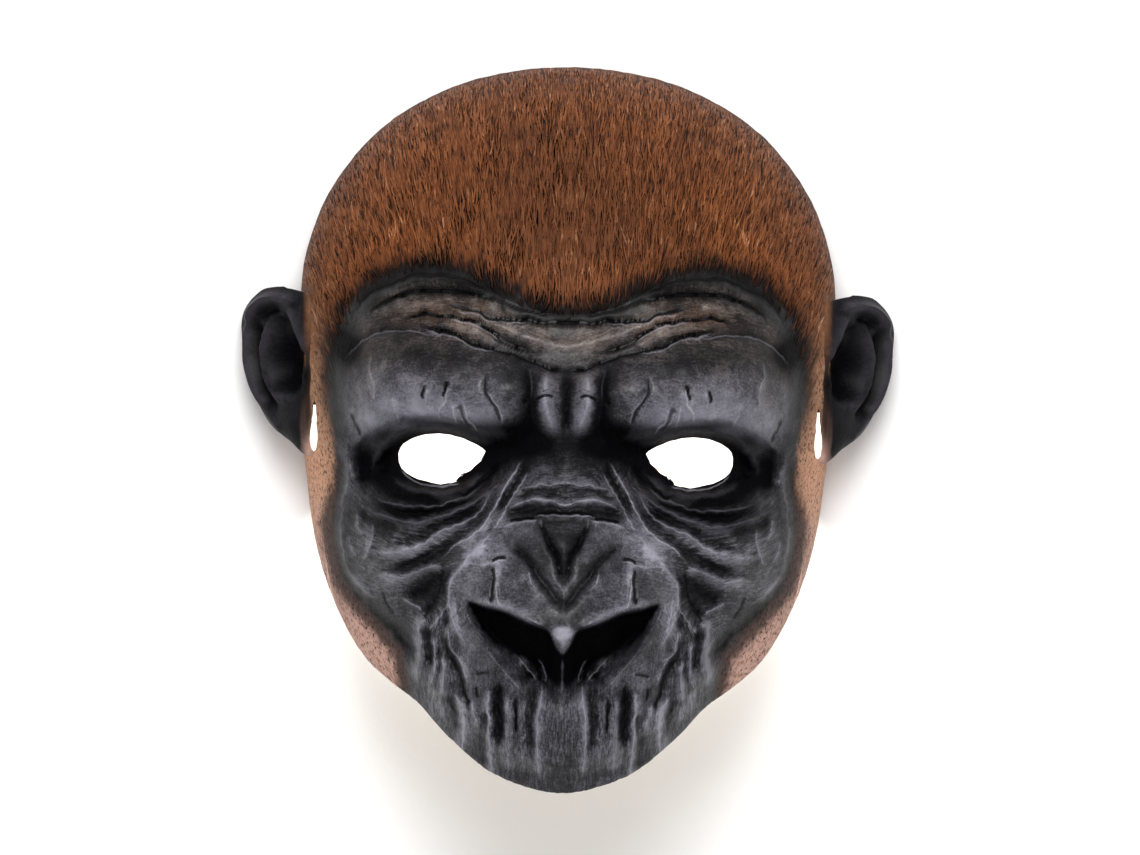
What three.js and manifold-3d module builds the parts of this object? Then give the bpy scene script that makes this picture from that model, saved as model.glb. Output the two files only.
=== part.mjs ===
// A moulded latex gorilla mask lying face up on its rim: one skin with both ears, two eye holes and two strap slots.
// Millimetres, +X towards the viewer's right, +Y from chin to crown, +Z out of the face. Rim on z = 0.
import * as THREE from 'three';
import Module from 'manifold-3d';
import { mergeVertices } from 'three/addons/utils/BufferGeometryUtils.js';

// Sizes in millimetres and degrees
const MASK_H = 240;          // crown to chin
const FACE_H = 102;          // height of the plain dome at the bridge of the nose, above the rim
const WALL = 2.2;            // latex skin
const WALL_FACE = 2.8;        // the same skin, pooled thicker, behind the face's relief
const NOSTRIL_DEEP = 14;     // how far the nostril hollow goes back
const NOSTRIL_ROOF = 5;      // length of the step at the top of the nostril, seen from the front
const NOSTRIL_RAMP = 11;     // length of the slope out of it towards the lip
const RIM_CALM = 0.1;        // share of the way to the rim over which the relief fades out
const EAR_ROOT_X = 86.6;     // where the ear leaves the side wall
const EAR_ROOT_Z = 34;
const EAR_BACK = 50;         // turn of the ear's plane, back from facing the viewer
const EAR_THICK = 3.2;
const EAR_ROOT_THICK = 9;    // thickness where it grows out of the wall
const EAR_ROOT_RUN = 6;      // how fast that thickness fades outward
const SLOT_LONG = 18;        // strap slot
const SLOT_WIDE = 3.2;
const SLOT_FROM_Z = 14;      // the slot is cut from here up through the side wall
const EYE_FROM_Z = 30;        // the eye holes are cut from here up
const CUT_TOP = 150;          // every cut ends above the face
const PLUG_FROM_Z = -30;      // the head's room is carried down to here, past the rim

// Every table is in thousandths of the mask's height, from the bridge of the nose: x outward, y up. Turns and
// leans are in degrees. The left and right halves are the same.
const MIL = MASK_H / 1000;
const rows = (names, table) => table.map(row => Object.fromEntries(names.split(' ').map((name, i) => [name, row[i]])));

// The rim and the dome that springs from it, by turn from the crown
const RIM = rows('turn reach lift round square', [
  [0, 515, 0, 2.3, 2.1], [14, 514, 0, 2.3, 2.1], [28, 505, 0, 2.3, 2.1], [42, 480, 0, 2.4, 2.1],
  [56, 440, 0, 2.5, 2.2], [70, 393, 0, 2.6, 2.2], [84, 370, 0, 2.6, 2.2], [98, 362, 0, 2.6, 2.1],
  [104, 365, 0, 2.6, 2.0], [116, 377, 60, 2.6, 1.8], [128, 393, 150, 2.5, 1.6], [140, 409, 230, 2.3, 1.5],
  [150, 413, 290, 2.2, 1.5], [160, 441, 340, 2.2, 1.6], [170, 472, 375, 2.2, 1.7], [180, 485, 390, 2.2, 1.8],
]);

// Broad swellings and hollows. edge: 2 is a soft hill, 6 a plateau with a steep side
const BUMPS = rows('name x y wide tall lean raise edge', [
  ['brow', 155, 84, 132, 40, -4, 30, 3],
  ['brow end', 262, 55, 45, 60, 0, 16, 2],
  ['brow inner pad', 84, 46, 46, 36, -12, 18, 3],
  ['glabella', 0, 70, 52, 66, 0, 10, 2],
  ['temple', 322, 150, 50, 120, 8, -12, 2],
  ['eye socket', 162, -32, 112, 48, 3, -52, 4],
  ['socket end', 268, -34, 34, 46, 0, -22, 2],
  ['bridge', 0, -60, 52, 82, 0, 18, 2],
  ['muzzle', 0, -290, 178, 172, 0, 72, 3],
  ['nose', 0, -205, 148, 106, 0, 34, 5],
  ['nose tip', 0, -246, 60, 34, 0, 12, 2],
  ['nose wing', 120, -215, 36, 62, -10, 14, 2],
  ['cheek', 234, -154, 66, 60, -20, 20, 2],
  ['jowl', 208, -275, 40, 68, 20, 8, 2],
]);

// Folds and grooves, each a bent line through three points
const FOLDS = rows('name x0 y0 x1 y1 x2 y2 spread raise', [
  ['brow shelf', 284, 4, 180, 40, 64, 8, 18, 18],
  ['forehead crease', 232, 168, 138, 158, 30, 112, 11, -7],
  ['forehead roll', 258, 190, 180, 212, 86, 184, 14, 5],
  ['frown', 33, 91, 31, 60, 14, 4, 13, 13],
  ['frown groove', 56, 88, 52, 55, 50, -2, 12, -12],
  ['eye bag', 276, -98, 193, -116, 92, -62, 13, 9],
  ['cheek fold', 268, -152, 185, -152, 96, -96, 13, 9],
  ['low cheek fold', 268, -196, 196, -192, 150, -160, 14, 9],
  ['cheek groove', 244, -218, 190, -222, 162, -190, 14, -9],
  ['wing groove', 134, -132, 174, -195, 170, -268, 12, -14],
  ['wing groove, low', 168, -262, 154, -316, 128, -352, 12, -11],
  ['smile fold', 229, -209, 201, -245, 206, -320, 12, 12],
  ['smile groove', 193, -223, 187, -262, 193, -314, 11, -12],
  ['face edge', 314, -41, 321, -124, 281, -218, 14, -13],
  ['face edge, low', 284, -215, 248, -251, 215, -309, 14, -12],
  ['pad notch', 41, -112, 22, -152, 4, -196, 10, -10],
  ['pad notch, low', 85, -149, 47, -187, 3, -244, 10, -9],
  ['lip groove, middle', 41, -345, 42, -390, 38, -450, 9, -8],
  ['lip groove', 87, -345, 87, -382, 86, -420, 9, -11],
  ['lip ridge', 101, -325, 103, -390, 99, -470, 9, 7],
  ['lip groove, outer', 113, -350, 114, -400, 110, -460, 8, -6],
  ['lip ridge, outer', 134, -335, 135, -378, 132, -420, 9, 7],
]);

// The nostril hollow from the middle of the nose outward: its upper and lower edge, and its share of the depth
const NOSTRIL = rows('x roof floor share', [
  [0, -298, -362, 0.45], [10, -282, -360, 0.55], [22, -259, -346, 0.85], [48, -248, -330, 1.0],
  [74, -237, -308, 1.0], [100, -228, -288, 0.95], [118, -222, -262, 0.7], [132, -219, -240, 0.3],
  [142, -218, -228, 0.0],
]);

// The eye hole's edge, outer corner first, over the top to the inner corner and back below
const EYE = rows('x y', [
  [232, -18], [215, -4], [192, 5], [172, 8], [148, 7], [124, -2], [108, -20], [110, -27], [126, -42], [148, -54],
  [172, -62], [196, -60], [214, -50], [228, -36],
]);

// The middle of the strap slot
const SLOT = { x: 350, y: 13 };

// The ear's outline from its middle, by turn outward from straight up
const EAR_MIDDLE = { x: 397, y: 94 };
const EAR = rows('turn reach', [
  [0, 109], [22, 103], [38, 87], [59, 60], [90, 51], [107, 48], [143, 57], [155, 65], [172, 83], [187, 103],
  [196, 127], [204, 125], [235, 67], [270, 55], [318, 78], [336, 106], [348, 107], [360, 109],
]);
const EAR_BUMPS = rows('name x y wide tall lean raise edge', [
  ['concha', 385, 98, 26, 40, 0, -24, 3],
  ['lobe', 380, 18, 24, 26, 0, 6, 2],
]);
const EAR_FOLDS = rows('name x0 y0 x1 y1 x2 y2 spread raise', [
  ['helix top', 362, 182, 410, 196, 440, 156, 8, 10],
  ['helix side', 440, 156, 444, 108, 424, 50, 8, 10],
  ['scapha', 420, 166, 429, 120, 412, 56, 8, -8],
  ['antihelix', 416, 152, 414, 100, 388, 58, 9, 8],
]);

// How finely the skin is faceted: spokes from the crown down one side, then rings. The lining has every second spoke
const SPOKES = rows('from to count', [[0, 70, 10], [70, 106, 8], [106, 180, 26]]);
const OUTER_RINGS = 38;
const INNER_RINGS = 22;
const EAR_TURNS = 30;
const EAR_RINGS = [0.24, 0.46, 0.63, 0.76, 0.86, 0.94, 1];

const { sin, cos, tan, hypot, atan2, min, max, exp, abs, sqrt, sign, PI } = Math;
const radians = degrees => degrees * PI / 180;
const clamp = t => min(1, max(0, t));
const smooth = t => clamp(t) ** 2 * (3 - 2 * clamp(t));

// Reads a column of a table at any place between its rows, without overshooting them
function between(table, key, column, at) {
  const last = table.length - 1;
  at = min(table[last][key], max(table[0][key], at));
  let i = 0;
  while (i < last - 1 && at > table[i + 1][key]) i++;
  const slope = k => (table[k + 1][column] - table[k][column]) / (table[k + 1][key] - table[k][key]);
  const lean = k => {
    if (k === 0 || k === last) return 0;
    const [a, b] = [slope(k - 1), slope(k)];
    return a * b > 0 ? 2 * a * b / (a + b) : 0;
  };
  const span = table[i + 1][key] - table[i][key];
  const t = (at - table[i][key]) / span;
  return table[i][column] * (1 + 2 * t) * (1 - t) ** 2 + table[i + 1][column] * t * t * (3 - 2 * t)
    + span * t * (1 - t) * ((1 - t) * lean(i) - t * lean(i + 1));
}

function hills(table, x, y) {
  let z = 0;
  for (const b of table) {
    const [c, s] = [cos(radians(b.lean)), sin(radians(b.lean))];
    const [dx, dy] = [x - b.x, b.y - y];
    z += b.raise * exp(-(hypot((dx * c + dy * s) / b.wide, (dy * c - dx * s) / b.tall) ** b.edge));
  }
  return z;
}

const FOLD_STEPS = 8;
const FOLD_FADE = 0.22;      // share of a fold's length over which each end fades out

function creases(table, x, y) {
  let z = 0;
  for (const f of table) {
    const [bx, by] = [2 * f.x1 - (f.x0 + f.x2) / 2, 2 * f.y1 - (f.y0 + f.y2) / 2];
    const at = t => [(1 - t) ** 2 * f.x0 + 2 * t * (1 - t) * bx + t * t * f.x2,
      (1 - t) ** 2 * f.y0 + 2 * t * (1 - t) * by + t * t * f.y2];
    let [best, along] = [Infinity, 0];
    for (let i = 0; i < FOLD_STEPS; i++) {
      const [[ax, ay], [ex, ey]] = [at(i / FOLD_STEPS), at((i + 1) / FOLD_STEPS)];
      const u = clamp(((x - ax) * (ex - ax) + (y - ay) * (ey - ay)) / ((ex - ax) ** 2 + (ey - ay) ** 2));
      const d = hypot(x - ax - u * (ex - ax), y - ay - u * (ey - ay));
      if (d < best) [best, along] = [d, (i + u) / FOLD_STEPS];
    }
    z += f.raise * exp(-((best / f.spread) ** 2)) * (0.08 + 0.92 * smooth(min(along, 1 - along) / FOLD_FADE));
  }
  return z;
}

function nostril(x, y) {
  const outermost = NOSTRIL[NOSTRIL.length - 1].x;
  if (x >= outermost) return 0;
  const [roof, floor, share] = ['roof', 'floor', 'share'].map(column => between(NOSTRIL, 'x', column, x));
  const [step, ramp] = [NOSTRIL_ROOF / MIL, NOSTRIL_RAMP / MIL];
  return -NOSTRIL_DEEP / MIL * share * smooth((roof - y) / step + 0.4) * smooth((y - floor) / ramp + 0.7);
}

// Height of the outer skin over a place in the rim's plane, in millimetres
function skin(xmm, ymm) {
  const [x, y] = [abs(xmm) / MIL, ymm / MIL];
  const turn = atan2(x, y) * 180 / PI;
  const [reach, lift, round, square] = ['reach', 'lift', 'round', 'square'].map(c => between(RIM, 'turn', c, turn));
  const out = min(1, hypot(x, y) / reach);
  const dome = (1 - out ** round) ** (1 / square);
  const calm = 1 - smooth((out - 1 + RIM_CALM) / RIM_CALM);
  const relief = calm > 0 ? hills(BUMPS, x, y) + creases(FOLDS, x, y) + nostril(x, y) : 0;
  return (lift + (FACE_H / MIL - lift) * dome + calm * relief) * MIL;
}

// Height of the inner skin: the wall's thickness as a ball rolled along the underside of the outer skin
const BALL = [[0, 0]].concat(...[0.55, 0.85, 1].map((r, k) => Array.from({ length: 12 }, (_, i) =>
  [r * cos(radians(30 * i + 15 * k)), r * sin(radians(30 * i + 15 * k))])));
function lining(x, y, out) {
  const wall = WALL + (WALL_FACE - WALL) * smooth((1 - out) / RIM_CALM);
  return min(...BALL.map(([dx, dy]) => skin(x + wall * dx, y + wall * dy) - wall * sqrt(max(0, 1 - dx * dx - dy * dy))));
}

// A place on the skin by turn from the crown and share of the way out to the rim
function place(turn, out, inset) {
  const folded = turn > 180 ? 360 - turn : turn;
  const reach = between(RIM, 'turn', 'reach', folded) * MIL - inset;
  return [out * reach * sin(radians(turn)), out * reach * cos(radians(turn))];
}
const outer = (turn, out) => {
  const [x, y] = place(turn, out, 0);
  return [x, y, skin(x, y)];
};
const inner = (turn, out) => {
  const [x, y] = place(turn, out, WALL);
  return [x, y, out < 1 ? lining(x, y, out) : between(RIM, 'turn', 'lift', turn > 180 ? 360 - turn : turn) * MIL];
};

// Rings crowd towards the steep rim, and are near even over the face
const ringShares = count => Array.from({ length: count }, (_, i) => sin((i + 1) / count * PI / 2) ** 1.15);
const halfSpokes = SPOKES.flatMap(({ from, to, count }) =>
  Array.from({ length: count }, (_, i) => from + (to - from) * i / count));
const spokes = [...halfSpokes, 180, ...halfSpokes.slice(1).map(turn => 360 - turn).reverse()];

// A closed body between two sheets, each a middle point and rings around it. The back has every skip-th spoke.
function sandwich(front, back, turns, frontShares, backShares, skip = 1) {
  const [points, faces] = [[], []];
  const sheet = (at, spokes, shares, flip) => {
    const middle = points.push(at(0, 0)) - 1;
    const rings = shares.map(s => spokes.map(t => points.push(at(t, s)) - 1));
    const add = (a, b, c) => faces.push(flip ? [a, c, b] : [a, b, c]);
    spokes.forEach((_, i) => {
      const j = (i + 1) % spokes.length;
      add(middle, rings[0][j], rings[0][i]);
      for (let k = 1; k < rings.length; k++) {
        const [a, b, c, d] = [rings[k - 1][i], rings[k - 1][j], rings[k][j], rings[k][i]];
        const firstShorter = distance(points[a], points[c]) <= distance(points[b], points[d]);
        if (firstShorter) { add(a, b, c); add(a, c, d); } else { add(a, b, d); add(b, c, d); }
      }
    });
    return rings[rings.length - 1];
  };
  const distance = (p, q) => hypot(p[0] - q[0], p[1] - q[1], p[2] - q[2]);
  const f = sheet(front, turns, frontShares, false);
  const b = sheet(back, turns.filter((_, i) => i % skip === 0), backShares, true);
  b.forEach((_, i) => {
    const next = b[(i + 1) % b.length];
    for (let k = 0; k < skip; k++) {
      const [from, to] = [f[(i * skip + k) % f.length], f[(i * skip + k + 1) % f.length]];
      faces.push([from, to, k === 0 ? b[i] : next]);
      if (k === 0) faces.push([to, next, b[i]]);
    }
  });
  const geometry = new THREE.BufferGeometry();
  geometry.setAttribute('position', new THREE.Float32BufferAttribute(points.flat(), 3));
  geometry.setIndex(faces.flat());
  return geometry;
}

const wasm = await Module();
wasm.setup();
const solid = geometry => new wasm.Manifold(new wasm.Mesh({
  numProp: 3,
  vertProperties: new Float32Array(geometry.attributes.position.array),
  triVerts: new Uint32Array(geometry.index.array),
}));

function prism(outline, fromZ, toZ) {
  const shape = new THREE.Shape(outline.map(([x, y]) => new THREE.Vector2(x, y)));
  const geometry = new THREE.ExtrudeGeometry(shape, { depth: toZ - fromZ, bevelEnabled: false });
  geometry.translate(0, 0, fromZ);
  geometry.deleteAttribute('normal');
  geometry.deleteAttribute('uv');
  return solid(mergeVertices(geometry));
}

const mirrored = geometry => {
  const twin = geometry.clone().scale(-1, 1, 1);
  const index = twin.index.array;
  for (let i = 0; i < index.length; i += 3) [index[i], index[i + 1]] = [index[i + 1], index[i]];
  return twin;
};

// The ear is a dished plate. Seen from the front its places are the table's; its plane leans back from them.
const earAt = depth => (turn, s) => {
  const reach = between(EAR, 'turn', 'reach', turn) * s;
  const [x, y] = [EAR_MIDDLE.x + reach * sin(radians(turn)), EAR_MIDDLE.y + reach * cos(radians(turn))];
  const raise = depth(x, y, s);
  return [x * MIL + raise * sin(radians(EAR_BACK)), y * MIL,
    EAR_ROOT_Z - (x * MIL - EAR_ROOT_X) * tan(radians(EAR_BACK)) + raise * cos(radians(EAR_BACK))];
};
const earFront = earAt((x, y, s) => (hills(EAR_BUMPS, x, y) + creases(EAR_FOLDS, x, y)) * MIL * (1 - s ** 12 * 0.7));
const earRear = earAt((x, y, s) => {
  const out = max(0, x * MIL - EAR_ROOT_X);
  const thick = EAR_THICK + (EAR_ROOT_THICK - EAR_THICK) * exp(-out / EAR_ROOT_RUN);
  const dish = hills(EAR_BUMPS, x, y) * MIL * 0.8;
  return -thick * (0.45 + 0.55 * sqrt(max(0, 1 - s * s))) + dish;
});
const earTurns = Array.from({ length: EAR_TURNS }, (_, i) => 360 * i / EAR_TURNS);
const ear = sandwich(earFront, earRear, earTurns, EAR_RINGS, EAR_RINGS);

// What the head takes up inside the mask, carried down past the rim, to trim the ears' roots
const plug = sandwich(inner, (turn, s) => [...place(turn, s, WALL), PLUG_FROM_Z],
  spokes.filter((_, i) => i % 2 === 0), ringShares(INNER_RINGS), [0.5, 1]);

let skinBody = solid(sandwich(outer, inner, spokes, ringShares(OUTER_RINGS), ringShares(INNER_RINGS), 2));
const cavity = solid(plug);
for (const side of [ear, mirrored(ear)]) skinBody = skinBody.add(solid(side).subtract(cavity));

for (const side of [1, -1]) {
  skinBody = skinBody.subtract(prism(EYE.map(p => [side * p.x * MIL, p.y * MIL]), EYE_FROM_Z, CUT_TOP));
  const [r, straight] = [SLOT_WIDE / 2, (SLOT_LONG - SLOT_WIDE) / 2];
  const end = up => Array.from({ length: 5 }, (_, i) =>
    [side * SLOT.x * MIL + r * cos(radians(45 * i)) * up, SLOT.y * MIL + up * (straight + r * sin(radians(45 * i)))]);
  skinBody = skinBody.subtract(prism([...end(1), ...end(-1)], SLOT_FROM_Z, CUT_TOP));
}

// The part's origin is the middle of its box, on the floor
const mesh = skinBody.getMesh();
const geometry = new THREE.BufferGeometry();
geometry.setAttribute('position', new THREE.Float32BufferAttribute(mesh.vertProperties, mesh.numProp));
geometry.setIndex(new THREE.BufferAttribute(mesh.triVerts, 1));
geometry.translate(0, -(RIM[0].reach - RIM[RIM.length - 1].reach) / 2 * MIL, 0);

const maskShell = new THREE.Mesh(geometry, new THREE.MeshStandardMaterial({ color: 0x4a3a34, roughness: 0.6 }));
maskShell.name = 'mask_shell';
const mask = new THREE.Group();
mask.name = 'gorilla_mask';
mask.add(maskShell);
export default mask;
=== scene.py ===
"""Moulded latex gorilla mask: painted skin, wrinkles, ears and hair strokes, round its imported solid."""

import math
from types import SimpleNamespace

import bmesh
import bpy
import numpy as np
from mathutils import Matrix, Vector


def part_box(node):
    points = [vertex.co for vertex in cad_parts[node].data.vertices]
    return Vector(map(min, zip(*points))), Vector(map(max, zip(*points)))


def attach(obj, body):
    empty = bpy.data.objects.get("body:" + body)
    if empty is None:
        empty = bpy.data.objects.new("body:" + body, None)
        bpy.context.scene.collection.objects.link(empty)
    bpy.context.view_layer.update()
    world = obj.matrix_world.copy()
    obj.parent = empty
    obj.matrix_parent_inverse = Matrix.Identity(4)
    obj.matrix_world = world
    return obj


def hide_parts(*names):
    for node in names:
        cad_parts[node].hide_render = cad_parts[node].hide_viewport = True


bl_info = {
    "name": "Gorilla mask",
    "version": (1, 0, 0),
    "blender": (4, 5, 0),
    "location": "3D View > Sidebar > Mask",
    "description": "Builds a moulded latex gorilla mask round its packed solid",
    "category": "Add Mesh",
}

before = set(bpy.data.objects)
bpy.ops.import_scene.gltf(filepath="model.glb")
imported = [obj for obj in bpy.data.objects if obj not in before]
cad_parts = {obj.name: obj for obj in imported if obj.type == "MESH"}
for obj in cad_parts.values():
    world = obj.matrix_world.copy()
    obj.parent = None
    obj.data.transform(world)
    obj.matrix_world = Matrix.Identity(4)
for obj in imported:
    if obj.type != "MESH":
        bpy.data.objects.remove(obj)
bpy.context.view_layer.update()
SHELL_LOW, SHELL_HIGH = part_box("mask_shell")

# The tables below are in thousandths of the mask's height, from the bridge of the nose: x outward, y up.
# Turns and leans are in degrees. Both halves of the mask are the same.
MASK_H = SHELL_HIGH[1] - SHELL_LOW[1]
MIL = MASK_H / 1000

HILL = "name x y wide tall lean amount edge"             # columns of a table of hills


def rows(names, table):
    """A table as a dict of one array for each named column, without the rows' own names."""
    names = names.split()
    start = 1 if names[0] == "name" else 0
    return {name: np.array([row[i] for row in table], float) for i, name in enumerate(names) if i >= start}


def points_in(text):
    """The points of a path or outline that is written as x y, x y."""
    return np.array([point.split() for point in text.split(",")], float)


def paths(names, table):
    """A table of bent paths, without the rows' own names: each row's named numbers and its path's points."""
    names = names.split()
    return [{**dict(zip(names, row[1:])), "path": points_in(row[-1])} for row in table]


# The rim and the dome that springs from it, by turn from the crown
RIM = rows("turn reach lift round square", [
    (0, 515, 0, 2.3, 2.1), (14, 514, 0, 2.3, 2.1), (28, 505, 0, 2.3, 2.1), (42, 480, 0, 2.4, 2.1),
    (56, 440, 0, 2.5, 2.2), (70, 393, 0, 2.6, 2.2), (84, 370, 0, 2.6, 2.2), (98, 362, 0, 2.6, 2.1),
    (104, 365, 0, 2.6, 2.0), (116, 377, 60, 2.6, 1.8), (128, 393, 150, 2.5, 1.6), (140, 409, 230, 2.3, 1.5),
    (150, 413, 290, 2.2, 1.5), (160, 441, 340, 2.2, 1.6), (170, 472, 375, 2.2, 1.7),
    (180, 485, 390, 2.2, 1.8),
])
CROWN_REACH, CHIN_REACH = RIM["reach"][0], RIM["reach"][-1]
FACE_H = 425                 # height of the plain dome at the bridge of the nose
RIM_CALM = 0.1               # share of the way to the rim over which the relief fades out
Y_SHIFT = -(CROWN_REACH - CHIN_REACH) / 2 * MIL

# Broad swellings and hollows. amount is the height, and edge 2 a soft hill, 6 a plateau with a steep side
BUMPS = rows(HILL, [
    ("brow", 155, 84, 132, 40, -4, 30, 3),
    ("brow end", 262, 55, 45, 60, 0, 16, 2),
    ("brow inner pad", 84, 46, 46, 36, -12, 18, 3),
    ("glabella", 0, 70, 52, 66, 0, 10, 2),
    ("temple", 322, 150, 50, 120, 8, -12, 2),
    ("eye socket", 162, -32, 112, 48, 3, -56, 4),
    ("socket end", 268, -34, 34, 46, 0, -24, 2),
    ("bridge", 0, -60, 52, 82, 0, 18, 2),
    ("muzzle", 0, -290, 178, 172, 0, 72, 3),
    ("nose", 0, -205, 148, 106, 0, 34, 6),
    ("nose tip", 0, -246, 60, 34, 0, 12, 2),
    ("nose wing", 120, -215, 36, 62, -10, 14, 2),
    ("cheek", 234, -154, 66, 60, -20, 20, 2),
    ("jowl", 208, -275, 40, 68, 20, 8, 2),
])

# The nostril hollow from the middle of the nose outward: its upper and lower edge, its share of the depth,
# the length of the slope out of it towards the lip, and where the black in it, black paint and painted shade,
# ends below and over what length
NOSTRIL = rows("x roof floor share ramp black fade", [
    (0, -294, -342, 0.45, 60, -332, 30), (10, -282, -342, 0.55, 60, -328, 30),
    (20, -262, -330, 0.85, 60, -318, 30), (48, -251, -314, 1.0, 54, -304, 24),
    (66, -243, -300, 1.0, 48, -297, 18), (80, -237, -289, 1.0, 42, -288, 14),
    (100, -232, -271, 0.9, 34, -275, 12), (116, -228, -249, 0.65, 26, -250, 12),
    (128, -224, -238, 0.25, 22, -230, 8), (136, -222, -230, 0.0, 22, -222, 6),
])
NOSTRIL_DEEP = 66
NOSTRIL_ROOF = 9             # length of the step at its top, seen from the front
ROOF_UP, FLOOR_UP = 0.33, 0.76           # how far up the two slopes the table's edges lie
BLACK_END, BLACK_ROOF = 8, 6             # lengths over which the black, paint and painted shade, fades outward and at its top
BLACK_UNEVEN = (2.5, 12, 51)             # of its lower edge: amount, size of the lumps, seed
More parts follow.
